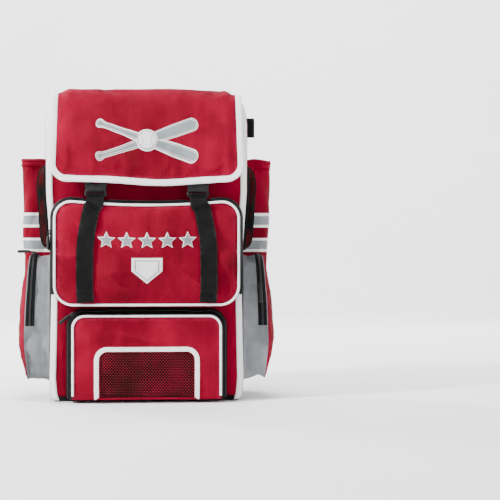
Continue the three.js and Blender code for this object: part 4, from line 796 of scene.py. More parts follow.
class Pocket:
    """A sewn pocket: a wall that grows out from a seat to a piped seam, and a crowned face inside the seam."""

    def __init__(self, box, low, high, depth, rows, seam, top, place, foot=1.0, swell=None, crown=4.0):
        self.u0, self.u1, self.v0, self.v1 = box
        self.low, self.high, self.depth, self.foot = low, high, depth, foot
        self.rows, self.seam, self.top, self.place, self.crown = np.array(rows), seam, top, place, crown
        self.swell = np.array(swell or [(0, 1), (1, 1)], float)
        self.half = min(self.u1 - self.u0, self.v1 - self.v0) / 2
        self.rim = self.outline(seam, 0.0)
        self.centre = np.array([(self.u0 + self.u1) / 2, (self.v0 + self.v1) / 2])
        self.folds = None

    def drawn(self, out):
        return float(level(out, self.rows[:, 0], self.rows[:, 1], 0.03)) * self.half

    def share(self, v):
        height = (np.asarray(v) - self.v0) / (self.v1 - self.v0)
        return level(height, self.swell[:, 0], self.swell[:, 1], 0.08)

    def outline(self, out, offset, across=44, up=28):
        drawn = self.drawn(out)
        inset = drawn - offset
        return rounded(
            self.u0 + inset, self.u1 - inset, self.v0 + drawn * self.foot - offset, self.v1 - inset,
            max(self.low - inset, 4), max(self.high - inset, 4), across, up, 12,
        )

    def ring(self, out, offset=0.0, forward=0.0):
        line = self.outline(out, offset)
        return self.place(line[:, 0], line[:, 1], out * self.depth * self.share(line[:, 1]) + forward)

    def depth_at(self, u, v):
        """How far out the face stands over a place, with its folds."""
        flat = np.stack([u, v], -1)
        out = np.minimum(outward(self.rim, flat, self.centre), 1)
        crown = 1 - out**self.crown
        stand = self.depth * self.share(v) * (self.seam + (self.top - self.seam) * crown)
        if self.folds is not None:
            stand = stand + self.folds(u, v) * fade(1 - out, 0.1)
        return stand

    def on_face(self, u, v, lift=0.0):
        u, v = np.asarray(u, float), np.asarray(v, float)
        return self.place(u, v, self.depth_at(u, v) + lift)

    def wall(self, form, seed, finish=0, start=0.0, stop=None, rows=18, offset=0.0, puckers=0.5):
        outs = np.linspace(start, self.seam if stop is None else stop, rows)
        grid = np.array([self.ring(out, offset) for out in outs])
        normals = grid_normals(grid, True)
        middle = grid.mean(1, keepdims=True)
        normals *= np.sign(((grid - middle) * normals).sum(-1).mean())
        ripple = noise(grid, 22, seed) * fade(outs - start, 0.15)[:, None] * fade(outs[-1] - outs, 0.12)[:, None]
        grid = grid + normals * (ripple * puckers)[..., None]
        around = lengths_of(grid[-1])
        form.add(grid, quads(*grid.shape[:2], False, True), around[None], outs[:, None] * self.depth, 0.15, finish)

    def face(self, form, finish=0, rings=38, lift=0.0):
        flat, faces, out = disc(self.rim, rings, self.centre)
        points = self.on_face(flat[:, 0], flat[:, 1], lift)
        form.add(points, faces, flat[:, 0], flat[:, 1], fade(out - 0.93, 0.07), finish)

    def piping(self, name, out, replaced, cut=None):
        stand = (GAP + PIPING / 2) * math.sqrt(0.5)
        line = self.ring(out, stand, stand)
        closed = cut is None
        if cut is not None:
            keep = cut(line)
            first = int(np.argmax(~keep & np.roll(keep, -1)))
            line = np.roll(line, -first - 1, 0)
            line = line[np.roll(keep, -first - 1)]
        facing = self.place(np.zeros(1), np.full(1, self.v0), np.ones(1)) - self.place(np.zeros(1), np.full(1, self.v0), np.zeros(1))
        form = Form(white, white_thread)
        swell = 1 + 0.05 * noise(line, 9, 21)
        sweep(form, line, facing[0], ring_profile(PIPING, PIPING, 12), closed, wide=swell, high=swell, worn=0.25)
        return form.piece(name, replaced)

    def zip(self, name, start, stop, replaced, keep, bulge=0.0):
        """The zip's woven tapes on the wall, with a coil of teeth along its middle."""
        form = Form(zip_tape, coil_finish, black_thread)
        outs = np.linspace(start, stop, 13)
        share = np.abs(2 * (outs - start) / (stop - start) - 1)
        base = np.array([self.ring(out, GAP + 1.5 - 0.9 * s**10) for out, s in zip(outs, share)])
        if bulge:
            free = fade(np.abs(np.abs(base[..., 0]) - STRAP_OUT) - 17, 8)
            more = np.array([self.ring(out, GAP + 1.5 + bulge * (1 - s**2)) for out, s in zip(outs, share)])
            base = base + (more - base) * free[..., None]
        flags = keep(base[6])
        if flags.all():
            line_sets = [base]
        else:
            first = int(np.argmax(~flags & np.roll(flags, -1)))
            base = np.roll(base, -first - 1, 1)
            line_sets = [base[:, np.roll(flags, -first - 1)]]
        grid = line_sets[0]
        around = lengths_of(grid[6])
        form.add(grid, quads(*grid.shape[:2]), around[None], (outs * self.depth)[:, None], (share**8)[:, None])
        facing = unit(np.cross(np.gradient(grid[6], axis=0), grid[9] - grid[3]))
        if ((grid[6] - grid[6].mean(0)) * facing).sum(-1).mean() < 0:
            facing = -facing
        across = unit(grid[9] - grid[3])
        for sign in (-1, 1):
            line = grid[6] + across * 0.75 * sign + facing * 0.55
            stitch_line = spaced(line, int(lengths_of(line)[-1] / 1.0))
            turned = np.stack([np.interp(lengths_of(stitch_line), lengths_of(line), c) for c in facing.T], 1)
            sweep(form, stitch_line, turned, ring_profile(1.9, 1.5, 6), finish=1, wide=1 + 0.3 * (np.arange(len(stitch_line)) % 2), high=1 + 0.35 * (np.arange(len(stitch_line)) % 2))
            seam = grid[6 + 4 * sign] + facing * 0.15
            stitches(form, seam, facing, 3.2, 2.3, 0.6, finish=2)
        return form.piece(name, replaced, wall=0.0)


def on_front(u, v, w):
    return np.stack([u, -FRONT - w, v], -1)


def on_upper_front(u, v, w):
    height = np.maximum((v - UPPER_BOTTOM) / UPPER_HEIGHT, 0)
    middle = 1 - np.minimum(np.abs(u) / 180, 1) ** 2
    return on_front(u, v - UPPER_DIP * height * middle, w)


upper = Pocket(
    (-180, 180, UPPER_BOTTOM, UPPER_BOTTOM + UPPER_HEIGHT), 42, 42, 54,
    [(0, 0), (0.1, 0), (0.6, 0.03), (0.86, 0.065), (0.97, 0.11)], 0.9, 1.12, on_upper_front,
)
lower = Pocket(
    (-152, 152, 4, 177), 8, 34, 42,
    [(0, 0), (0.05, 0), (0.8, 0.14), (0.96, 0.2)], 0.86, 1.08, on_front, foot=0.2, crown=3.4,
)


def upper_folds(u, v):
    place = np.stack([u, v, np.zeros_like(u)], -1)
    pulled = np.exp(-(((np.abs(u) - 112) / 30) ** 2))
    slanted = np.stack([u - 0.8 * v, v + 0.5 * u, np.zeros_like(u)], -1)
    stiff = 1 - 0.85 * np.exp(-((u / 44) ** 4) - (((v - 256) / 40) ** 4))
    return stiff * (
        8.5 * noise(place, np.array([75, 60, 1]), 11)
        + 9.5 * creases(slanted, np.array([150, 44, 1]), 12) * fade(v - 180, 40)
        - 4.5 * pulled * fade(v - 190, 60)
        + 0.9 * noise(place, 20, 13)
    )


def lower_folds(u, v):
    place = np.stack([u, v, np.zeros_like(u)], -1)
    slanted = np.stack([u - 1.4 * v, v + 0.3 * u, np.zeros_like(u)], -1)
    stiff = 1 - 0.85 * np.exp(-((u / 80) ** 6) - (((v - 45) / 62) ** 6))
    return stiff * (
        6.5 * noise(place, np.array([80, 45, 1]), 14)
        + 7.5 * creases(slanted, np.array([140, 36, 1]), 15) * fade(v - 98, 22)
        + 0.8 * noise(place, 18, 16)
    )


upper.folds, lower.folds = upper_folds, lower_folds


def make_upper_pocket():
    form = Form(red_ribbed, red)
    upper.wall(form, 31, finish=1)
    upper.face(form, rings=48)
    form.piece("upper_pocket_cloth", ["upper_pocket"], wall=CLOTH, weld=True)
    upper.piping("upper_piping", 0.9, ["upper_pocket_piping"])
    upper.zip("upper_zip_band", 0.13, 0.84, ["upper_zip"], lambda line: line[:, 2] > UPPER_BOTTOM + 25, 2.4)
    seams = Form(red_thread)
    for inset in (0.965,):
        rim = upper.centre + (upper.rim - upper.centre) * inset
        stitches(seams, upper.on_face(rim[:, 0], rim[:, 1], 0.1), (0, -1, 0), closed=True)
    seams.piece("upper_pocket_stitches")


WINDOW = (-90.5, 90.5, 9.0, 98.0)


def window_outline(margin, drop, across=44, up=28):
    u0, u1, v0, v1 = WINDOW
    return rounded(u0 - margin, u1 + margin, v0 - drop, v1 + margin, 1.5, 16 + margin, across, up, 12)


def hexagons(u0, u1, v0, v1, wide, tall):
    """Strands of a net as pairs of ends: pointed cells, wide and tall in mm, in staggered rows."""
    strands = []
    rows = int((v1 - v0) / tall) + 2
    columns = int((u1 - u0) / wide) + 2
    quarter = tall / 3
    for r in range(rows):
        for c in range(columns):
            u = u0 + (c + 0.5 * (r % 2)) * wide
            v = v0 + r * tall
            top, left, right = (u, v + quarter), (u - wide / 2, v), (u + wide / 2, v)
            strands += [(left, top), (top, right), (top, (u, v + tall - quarter * 0.0))]
    return np.array(strands, float)


def net(form, strands, inside, on_surface, thick):
    """Lays the strands that are inside on a surface as thin flat ribbons."""
    keep = inside(strands.reshape(-1, 2)).reshape(-1, 2).all(1)
    strands = strands[keep]
    start, end = strands[:, 0], strands[:, 1]
    along = unit(end - start)
    beside = np.stack([-along[:, 1], along[:, 0]], 1) * thick / 2
    start, end = start - along * thick * 0.4, end + along * thick * 0.4
    flat = np.stack([start - beside, start + beside, end + beside, end - beside], 1)
    ridge = np.stack([start, end], 1)
    back = on_surface(flat[..., 0], flat[..., 1], 0.2)
    points = np.concatenate([back, on_surface(ridge[..., 0], ridge[..., 1], 1.0)], 1)
    first = np.arange(len(points))[:, None, None] * 6
    four = np.array([(3, 2, 1, 0), (0, 4, 5, 3), (1, 2, 5, 4)])
    three = np.array([(0, 1, 4), (3, 5, 2)])
    faces = [(four[None] + first).reshape(-1, 4), (three[None] + first).reshape(-1, 3)]
    form.add(points.reshape(-1, 3), faces)


def make_lower_pocket():
    form = Form(red)
    lower.wall(form, 32)
    hole = window_outline(-1.5, -1.5)
    share = np.linspace(0, 1, 34)[:, None, None]
    flat = lower.rim[None] * (1 - share) + hole[None] * share
    points = lower.on_face(flat[..., 0], flat[..., 1])
    worn = np.broadcast_to(np.clip(1 - share[..., 0] * 8, 0, 1), flat.shape[:2])
    form.add(points, quads(*flat.shape[:2], False, True), flat[..., 0], flat[..., 1], worn)
    form.piece("lower_pocket_cloth", ["lower_pocket"], wall=CLOTH, weld=True)

    lower.piping("lower_piping", 0.86, ["lower_pocket_piping"], lambda line: line[:, 2] > 9)
    lower.zip("lower_zip_band", 0.04, 0.78, ["lower_zip"], lambda line: line[:, 2] > 7, 1.6)

    mesh = Form(net_finish, lining)
    u0, u1, v0, v1 = WINDOW
    rim = window_outline(0.5, 0.5)
    centre = rim.mean(0)

    def within(points):
        return outward(rim, points, centre) < 1

    strands = hexagons(u0 - 6, u1 + 6, v0 - 4, v1 + 4, 5.4, 3.1)
    net(mesh, strands, within, lambda u, v, lift: lower.on_face(u, v, lift - 1.6), 1.75)
    flat, faces, _ = disc(rim, 24, centre)
    back = on_front(flat[:, 0], flat[:, 1], lower.depth_at(flat[:, 0], flat[:, 1]) - 4.2)
    mesh.add(back, faces, flat[:, 0], flat[:, 1], 0, 1)
    mesh.piece("window_net", ["window_mesh"])

    tape = Form(white, white_thread)
    line = window_outline(4.5, 0)
    line = line[np.argsort(np.arange(len(line)))]
    keep = line[:, 1] > 9.2
    first = int(np.argmax(~keep & np.roll(keep, -1)))
    line = np.roll(line, -first - 1, 0)[np.roll(keep, -first - 1)]
    path = spaced(line, 260)
    surface = lower.on_face(path[:, 0], path[:, 1], 1.0)
    swell = 1 + 0.04 * noise(surface, 8, 22)
    sweep(tape, surface, (0, -1, 0), ring_profile(9, 2.6, 20, 0.5), wide=swell, high=swell, worn=0.2)
    for off in (-3.2, 3.2):
        _, sides, _ = frames(surface, (0, -1, 0))
        stitches(tape, surface + sides * off + np.array([0, -1.15, 0]), (0, -1, 0), 3.0, 2.2, 0.6, finish=1)
    tape.piece("window_binding", ["window_tape"])


# Pieces at the sides

def make_side_pockets():
    swell = [(0.0, 0.84), (0.28, 1.0), (0.6, 0.95), (1.0, 0.8)]
    rows = [(0, 0), (0.1, 0), (0.79, 0.06), (0.92, 0.18), (1.0, 0.55)]
    for word, side in SIDES.items():
        pocket = Pocket(
            (SIDE_FRONT_Y, SIDE_FRONT_Y + 88, 38, 282), 20, 38, 66, rows, 0.79, 0.985,
            lambda u, v, w, side=side: np.stack([side * (SIDE_SEAT + w), u, v], -1), swell=swell, crown=3.0,
        )
        seed = 41 if side < 0 else 47

        def folds(u, v, seed=seed):
            place = np.stack([u, v, np.zeros_like(u)], -1)
            return 1.8 * noise(place, np.array([40, 55, 1]), seed) + 1.2 * creases(place, np.array([30, 16, 1]), seed + 1) - 1.0

        pocket.folds = folds
        gusset = Form(grey, grey)
        outs = np.linspace(0.02, 0.79, 28)
        grid = np.array([pocket.ring(out) for out in outs])
        inward = grid_normals(grid, True)
        middle = grid.mean(1, keepdims=True)
        inward *= -np.sign(((grid - middle) * inward).sum(-1).mean())
        slanted = grid @ np.array([[1, 0, 0.8], [0, 1, 0], [-0.5, 0, 1]])
        amount = 8.0 * creases(slanted, np.array([40, 70, 28]), seed + 2) + 2.2 * noise(grid, 20, seed + 3)
        below_zip = fade(150 - grid[..., 2], 25)
        ends = fade(outs - 0.02, 0.1)[:, None] * fade(0.79 - outs, 0.1)[:, None]
        zip_band = 1 - fade(grid[..., 2] - 135, 12) * (fade(outs - 0.42, 0.05) * fade(0.81 - outs, 0.05))[:, None]
        grid = grid + inward * (amount * ends * (0.45 + 0.55 * below_zip) * zip_band)[..., None]
        around = lengths_of(grid[20])
        gusset.add(grid, quads(*grid.shape[:2], False, True), around[None], (outs * 66)[:, None], 0.1)
        gusset.piece(f"side_gusset_cloth_{word}", [f"side_pocket_gusset_{word}"], wall=CLOTH)

        face = Form(red, red_thread)
        pocket.face(face, rings=28, lift=0.3)
        lip = np.array([pocket.ring(out, 0.0, 0.3) for out in (0.775, 0.79)])
        face.add(lip, quads(2, lip.shape[1], False, True), 0, 0, 1.0)
        rim = pocket.centre + (pocket.rim - pocket.centre) * 0.93
        stitches(face, pocket.on_face(rim[:, 0], rim[:, 1], 0.4), (side, 0, 0), finish=1, closed=True)
        face.piece(f"side_face_cloth_{word}", [f"side_pocket_face_{word}"], wall=CLOTH * 0.8, weld=True)
        pocket.zip(f"side_zip_band_{word}", 0.48, 0.75, [f"side_pocket_zip_{word}"], lambda line: line[:, 2] > 143)


def make_side_mesh():
    for word, side in SIDES.items():
        box = (SIDE_FRONT_Y, SIDE_FRONT_Y + 84, 292.0, 452.0)
        rim = rounded(*box, 6.5, 26, 30, 50, 12)
        centre = np.array([(box[0] + box[1]) / 2, (box[2] + box[3]) / 2])

        def on_panel(u, v, lift=0.0, side=side, rim=rim, centre=centre):
            out = np.minimum(outward(rim, np.stack([u, v], -1), centre), 1)
            sag = 2.0 * noise(np.stack([u, v, np.zeros_like(u)], -1), 36, 51) * fade(1 - out, 0.3)
            stand = 17 * (1 - out**8) ** 0.55 + sag
            return np.stack([side * (body_half(v) + stand + lift), u, v], -1)

        form = Form(net_finish, zip_tape, net_backing)
        strands = hexagons(box[0] - 4, box[1] + 4, box[2] - 4, box[3] + 4, 4.5, 2.8)
        net(form, strands, lambda p, rim=rim, centre=centre: outward(rim, p, centre) < 0.995, on_panel, 0.95)
        flat, faces, _ = disc(rim, 40, centre)
        form.add(on_panel(flat[:, 0], flat[:, 1], -1.0), faces, flat.sum(1) + 0.6 * flat[:, 0], flat[:, 1], 0, 2)
        hem = np.stack([side * (body_half(rim[:, 1]) + GAP + 2.2), rim[:, 0], rim[:, 1]], -1)
        sweep(form, hem, (side, 0, 0), ring_profile(5, 3.4, 14, 0.6), True, finish=1, worn=0.1)
        form.piece(f"side_net_{word}", [f"side_mesh_{word}"])


def make_sleeves():
    keys, shares = np.array([0.0, 0.06, 0.2, 0.6, 1.0]), np.array([0.4, 0.84, 0.9, 0.96, 1.0])
    for word, side in SIDES.items():
        seed = 61 if side < 0 else 66
        heights = np.concatenate([np.linspace(SLEEVE_BOTTOM, SLEEVE_BOTTOM + 30, 10)[:-1], np.linspace(SLEEVE_BOTTOM + 30, SLEEVE_TOP, 90)])
        rows = []
        for z in heights:
            reach = SIDE_SEAT + SLEEVE_DEPTH * float(level((z - SLEEVE_BOTTOM) / (SLEEVE_TOP - SLEEVE_BOTTOM), keys, shares, 0.015))
            corner = min(SLEEVE_CORNER, (reach - SIDE_SEAT) * 0.9)
            loop = rounded(SIDE_SEAT - 40, reach, SLEEVE_FRONT, SLEEVE_BACK, corner, corner, 40, 60, 16)
            outer = loop[: 2 * 17 + 60 - 1]
            start = np.array([[float(body_half(z)) + GAP, SLEEVE_FRONT]])
            end = np.array([[float(body_half(z)) + GAP, SLEEVE_BACK]])
            rows.append(np.c_[spaced(np.vstack([start, outer, end]), 86), np.full(86, z)])
        grid = np.array(rows)
        floor = [grid[0] * np.array([0, 1, 1]) + np.array([1, 0, 0]) * (SIDE_SEAT + (grid[0][:, :1] - SIDE_SEAT) * s) for s in (0.02, 0.35, 0.7, 0.93)]
        grid = np.concatenate([np.array(floor), grid])
        x, y, z = np.moveaxis(grid, -1, 0)
        normals = grid_normals(grid)
        middle = np.array([SIDE_SEAT, 46, 0]) * np.ones_like(grid)
        middle[..., 2] = z
        normals *= np.sign(((grid - middle) * normals).sum(-1).mean())
        hem = fade(z - (SLEEVE_TOP - 17), 2)
        slanted = grid @ np.array([[1, 0, 0.5], [0, 1, 0.6], [0.25, 0.3, 1]])
        lift = -4.2 * creases(slanted, np.array([34, 26, 120]), seed) * (1 - 0.75 * hem)
        lift = lift + 3.0 * noise(grid, np.array([50, 34, 85]), seed + 1)
        lift = lift - 3.0 * creases(slanted, np.array([60, 60, 26]), seed + 2) * fade(190 - z, 90)
        puckers = np.exp(-(((z - (SLEEVE_TOP - 18)) / 10) ** 2))
        lift = lift + 2.2 * puckers * noise(grid, np.array([9, 9, 40]), seed + 3) + 0.9 * hem
        root = fade(np.minimum(np.arange(86), 85 - np.arange(86)), 10)[None]
        lift = lift * root * fade(z - SLEEVE_BOTTOM, 12)
        lift = np.where(y < 16, np.minimum(lift, 1.2), lift)
        grid = grid + normals * lift[..., None]
        edge_wave = noise(np.stack([x, y, np.zeros_like(z)], -1), np.array([40, 34, 1]), seed + 4)
        grid[..., 2] += 3.6 * edge_wave * fade(z - 415, 55) * root
        grid[..., 0] *= side
        around = lengths_of(grid[70])
        form = Form(red_sleeve, red_thread)
        worn = np.clip(1 - np.abs(z - SLEEVE_TOP) / 3, 0, 1)
        form.add(grid, quads(*grid.shape[:2]), around[None], z, worn)
        normals[..., 0] *= side
        for height in (SLEEVE_TOP - 15, SLEEVE_TOP - 3):
            row = int(np.argmin(np.abs(grid[:, 43, 2] - height)))
            stitches(form, grid[row] + normals[row] * 0.25, normals[row], finish=1)
        form.piece(f"bat_sleeve_cloth_{word}", [f"bat_sleeve_{word}"], wall=CLOTH)


# Flap

def flap_line(column):
    rows = np.c_[FLAP_ROWS[:, 0] * FRONT, BODY_HEIGHT + FLAP_ROWS[:, column] * FLAP_DROP]
    return curve(rows, 600)


FLAP_MIDDLE, FLAP_SIDE = flap_line(1), flap_line(2)
FLAP_LENGTH = lengths_of(FLAP_MIDDLE)[-1]


def flap_half(s):
    return (FLAP_TOP_WIDTH + (FLAP_WIDTH - FLAP_TOP_WIDTH) * np.asarray(s) / FLAP_LENGTH) / 2


def flap_base(x, s):
    """The flap's middle surface without folds; s runs from its back edge over the top to its hem."""
    at = np.clip(np.asarray(s) / FLAP_LENGTH, 0, 1) * (len(FLAP_MIDDLE) - 1)
    index = np.arange(len(FLAP_MIDDLE))
    side = np.minimum((np.asarray(x) / (FLAP_WIDTH / 2)) ** 2, 1)
    y = np.interp(at, index, FLAP_MIDDLE[:, 0]) * (1 - side) + np.interp(at, index, FLAP_SIDE[:, 0]) * side
    z = np.interp(at, index, FLAP_MIDDLE[:, 1]) * (1 - side) + np.interp(at, index, FLAP_SIDE[:, 1]) * side
    sag = 4.5 * np.exp(-(((np.asarray(x) - 28) / 62) ** 2)) - 1.6 * np.exp(-(((np.asarray(x) + 75) / 50) ** 2))
    z = z - sag * np.clip(1 - (FLAP_LENGTH - np.asarray(s)) / 110, 0, 1) ** 2
    return np.stack([np.broadcast_to(x, y.shape), y, z], -1)


def flap_normal(x, s):
    across = flap_base(x + 2, s) - flap_base(x - 2, s)
    along = flap_base(x, np.minimum(s + 2, FLAP_LENGTH)) - flap_base(x, np.maximum(s - 2, 0))
    normal = unit(np.cross(across, along))
    return normal * np.sign(normal[..., 2:] - normal[..., 1:2] + 1e-9)


def flap_border(x, s):
    """Distance from the flap's outer edge."""
    side = flap_half(s) - np.abs(x)
    low = FLAP_LENGTH - s
    inner = FLAP_CORNER - np.minimum(np.minimum(side, low), FLAP_CORNER)
    corner = (side < FLAP_CORNER) & (low < FLAP_CORNER)
    round_off = FLAP_CORNER - np.hypot(FLAP_CORNER - side, FLAP_CORNER - low)
    return np.where(corner, round_off, FLAP_CORNER - inner)


def flap_lift(x, s):
    """How far the padded upper side stands over the middle surface."""
    place = np.stack(np.broadcast_arrays(x, s, 0.0), -1)
    slanted = np.stack(np.broadcast_arrays(x - 0.9 * s, s + 0.6 * x, 0.0), -1)
    inside = fade(flap_border(x, s) - HEM + 2, 26)
    padding = 2.4 + 3.2 * inside
    waves = 2.6 * noise(place, np.array([70, 55, 1]), 71) + 2.2 * creases(slanted, np.array([150, 38, 1]), 72)
    return padding + inside * (waves + 0.35 * noise(place, 16, 73))


def flap_half_inside(s):
    """Half the width of the flap's cloth between its bindings."""
    straight = FLAP_LENGTH - FLAP_CORNER
    centre = float(flap_half(straight)) - FLAP_CORNER
    radius = FLAP_CORNER - HEM + 1.0
    drop = np.clip((s - straight) / radius, 0, 1)
    return np.where(s <= straight, flap_half(s) - HEM + 1.0, centre + radius * np.sqrt(1 - drop**2))


flap_buckle = {"stops": np.array([0.0, FLAP_LENGTH]), "moves": np.zeros((2, 2, 3))}


def on_flap(x, s, lift=0.0):
    """A place on the flap's upper side, as the simulation left it."""
    x, s = np.asarray(x, float), np.asarray(s, float)
    stops, moves = flap_buckle["stops"], flap_buckle["moves"]
    row = np.interp(s, stops, np.arange(len(stops)))
    column = (x / flap_half_inside(s) + 1) / 2 * (moves.shape[1] - 1)
    r = np.clip(row.astype(int), 0, moves.shape[0] - 2)
    c = np.clip(column.astype(int), 0, moves.shape[1] - 2)
    down, over = (row - r)[..., None], np.clip(column - c, 0, 1)[..., None]
    near = moves[r, c] * (1 - over) + moves[r, c + 1] * over
    next_row = moves[r + 1, c] * (1 - over) + moves[r + 1, c + 1] * over
    blown = near * (1 - down) + next_row * down
    return flap_base(x, s) + flap_normal(x, s) * (flap_lift(x, s) + lift)[..., None] + blown


def flap_edge(inset, side_steps=200, corner_steps=40, bottom_steps=60):
    """One half of a line along the flap's edge, at a distance in from it."""
    radius = FLAP_CORNER - inset
    straight = FLAP_LENGTH - FLAP_CORNER
    centre = float(flap_half(straight)) - FLAP_CORNER
    stops = np.linspace(0, straight, side_steps)
    side = np.c_[flap_half(stops) - inset, stops]
    turn = np.linspace(0, math.pi / 2, corner_steps + 1)[1:]
    corner = np.c_[centre + radius * np.cos(turn), straight + radius * np.sin(turn)]
    bottom = np.c_[np.linspace(centre, 0, bottom_steps + 1)[1:], np.full(bottom_steps, straight + radius)]
    return np.vstack([side, corner, bottom])


def flap_rim(inset):
    half = flap_edge(inset)
    return np.vstack([half, half[:-1][::-1] * np.array([-1, 1])])


def make_flap():
    stops = np.concatenate([np.linspace(0, FLAP_LENGTH - FLAP_CORNER, 106), FLAP_LENGTH - FLAP_CORNER + (FLAP_CORNER - HEM) * np.sin(np.linspace(0, math.pi / 2, 19)[1:])])
    half = flap_half_inside(stops)
    share = np.linspace(-1, 1, 95)
    x = half[:, None] * share[None]
    s = np.broadcast_to(stops[:, None], x.shape)
    top = flap_base(x, s) + flap_normal(x, s) * flap_lift(x, s)[..., None]
    held = flap_border(x, s) < HEM + 1.5
    low = flap_base(x, s) - flap_normal(x, s) * 2.4
    smooth = top
    top = settled(top, held, np.array([0, 0, 300]), cap=5)
    flap_buckle["stops"], flap_buckle["moves"] = stops, top - smooth
    form = Form(red_ribbed, lining)
    worn = np.clip(1 - (flap_border(x, s) - HEM) / 5, 0, 1)
    faces = quads(*x.shape)
    form.add(top, faces, x, s, worn)
    form.add(low, faces, x, s, 0, 1)
    rows, columns = x.shape
    loop = [(0, c) for c in range(columns - 1)] + [(r, columns - 1) for r in range(rows - 1)]
    loop += [(rows - 1, c) for c in range(columns - 1, 0, -1)] + [(r, 0) for r in range(rows - 1, 0, -1)]
    rim = np.array([[top[r, c] for r, c in loop], [low[r, c] for r, c in loop]])
    form.add(rim, quads(2, len(loop), False, True), 0, 0, 0.3)
    flap = form.piece("flap_cloth", ["flap"], weld=True, sharp=60)

    hem = Form(white, white_thread)
    line = spaced(flap_rim(HEM / 2), 430)
    x, s = line.T
    points, facing = flap_base(x, s), flap_normal(x, s)
    swell = 1 + 0.07 * noise(points, 11, 74) + 0.04 * noise(points, 4, 75)
    profile = hem_profile(HEM, HEM_THICKNESS)
    tangents, sides, lifts = frames(points, facing)
    inner = unit(np.array([0, -60, 545]) - points)
    direction = np.sign((sides * inner).sum(-1).mean())
    profile = profile * np.array([-direction, 1])
    sweep(hem, points, facing, profile, wide=swell, high=swell, worn=0.2)
    stitches(hem, points + sides * direction * HEM * 0.31 + lifts * 2.25, facing, finish=1)
    hem.piece("flap_hem", ["flap_binding"])


def band_on_flap(form, line, widths, lift, finish):
    """A flat shape along a line of (x, s), draped on the flap: widths are its half widths."""
    tangent = unit(np.gradient(line, axis=0))
    side = np.stack([-tangent[:, 1], tangent[:, 0]], 1)
    share = np.linspace(-1, 1, 9)
    flat = line[:, None] + side[:, None] * (widths[:, None] * share[None])[..., None]
    top = on_flap(flat[..., 0], flat[..., 1], lift)
    rim = 0.5 + 0.5 * fade(1 - np.abs(share), 0.3)
    top = top * rim[None, :, None] + on_flap(flat[..., 0], flat[..., 1], 0.1) * (1 - rim)[None, :, None]
    form.add(top, quads(*flat.shape[:2]), flat[..., 0], flat[..., 1], 0, finish)


def disc_on(form, outline, place, lift, finish, rings=14, centre=None):
    flat, faces, out = disc(outline, rings, centre)
    lifts = lift * fade(1.02 - out, 0.12)
    form.add(place(flat[:, 0], flat[:, 1], np.maximum(lifts, 0.1)), faces, flat[:, 0], flat[:, 1], 0, finish)


def circle(u, v, radius, count=48):
    turn = np.linspace(0, 2 * math.pi, count, endpoint=False)
    return np.c_[u + radius * np.cos(turn), v + radius * np.sin(turn)]


def make_motifs():
    """Plain club ornament where the photograph has lettering: crossed bats with a ball, stars and a home plate."""
    form = Form(white_twill, red, grey_twill, red_thread)
    centre = FLAP_LENGTH - 82
    shape = np.array([(0, 5.2), (4, 5.6), (7, 5.0), (10, 3.2), (16, 2.8), (50, 3.4), (85, 5.4), (120, 8.0), (150, 9.6), (196, 10.2)])
    for turn, layer in ((1, 0.0), (-1, 0.9)):
        axis = np.array([math.cos(math.radians(20)), -turn * math.sin(math.radians(20))])
        start = np.array([0.0, centre]) - axis * 98
        for grow, lift, finish in ((3.4, 0.35, 0), (2.1, 0.6, 1), (0.9, 0.85, 0), (0.0, 1.1, 2)):
            share = np.sin(np.linspace(-1, 1, 110) * math.pi / 2) * 0.5 + 0.5
            along = -grow + (196 + 2 * grow) * share
            widths = np.interp(np.clip(along, 0, 196), shape[:, 0], shape[:, 1]) + grow
            knob = np.clip((along + grow) / (2.4 + grow), 0, 1)
            tip = np.clip((196 + grow - along) / (8 + grow), 0, 1)
            widths = widths * np.sqrt(np.maximum(1 - (1 - knob) ** 2, 0.001)) * np.sqrt(np.maximum(1 - (1 - tip) ** 2, 0.001))
            line = start + axis * along[:, None]
            band_on_flap(form, line, widths, lift + layer, finish)
    for radius, lift, finish in ((21.4, 2.2, 0), (20, 2.45, 1), (18.8, 2.7, 0)):
        disc_on(form, circle(0, centre, radius), on_flap, lift, finish)
    for sign in (-1, 1):
        turn = np.linspace(-0.85, 0.85, 30)
        arc = np.c_[sign * (24 - 16 * np.cos(turn)), centre + 16.5 * np.sin(turn) * 1.05]
        stitches(form, on_flap(arc[:, 0], arc[:, 1], 2.95), (0, -1, 0.3), 2.6, 1.6, 1.2, finish=3)
    form.piece("flap_emblem")

    badge = Form(white_twill, grey_twill, red, red_thread)
    for i in range(5):
        u, v, size = (i - 2) * 38.0, 314.0, 15.5
        turn = np.linspace(0, 2 * math.pi, 10, endpoint=False) + math.pi / 2
        radii = np.where(np.arange(10) % 2 == 0, 1.0, 0.45)
        corners = np.c_[np.cos(turn), np.sin(turn)] * radii[:, None]
        for grow, lift, finish in ((2.2, 1.1, 0), (0.0, 1.5, 1)):
            points = np.array([u, v]) + corners * (size + grow)
            outline = np.vstack([points[k] * (1 - t) + points[(k + 1) % 10] * t for k in range(10) for t in (0.0, 0.25, 0.5, 0.75)])
            disc_on(badge, outline, upper.on_face, lift, finish, 10, np.array([u, v]))
    plate = np.array([(-29, 24), (29, 24), (29, -2), (0, -27), (-29, -2)], float)
    for grow, lift, finish in ((1.0, 1.2, 0), (0.86, 1.5, 1), (0.78, 1.8, 0)):
        points = np.array([0.0, 256.0]) + plate * grow
        outline = np.vstack([points[k] * (1 - t) + points[(k + 1) % 5] * t for k in range(5) for t in np.linspace(0, 1, 21)[:-1]])
        disc_on(badge, outline, upper.on_face, lift, finish, 20, np.array([0.0, 256.0]))
    badge.piece("pocket_emblem")


# Webbing, buckles and other fittings

def rectangle(x0, x1, z0, z1, radius, turn=5):
    return rounded(x0, x1, z0, z1, radius, radius, 2, 2, turn)


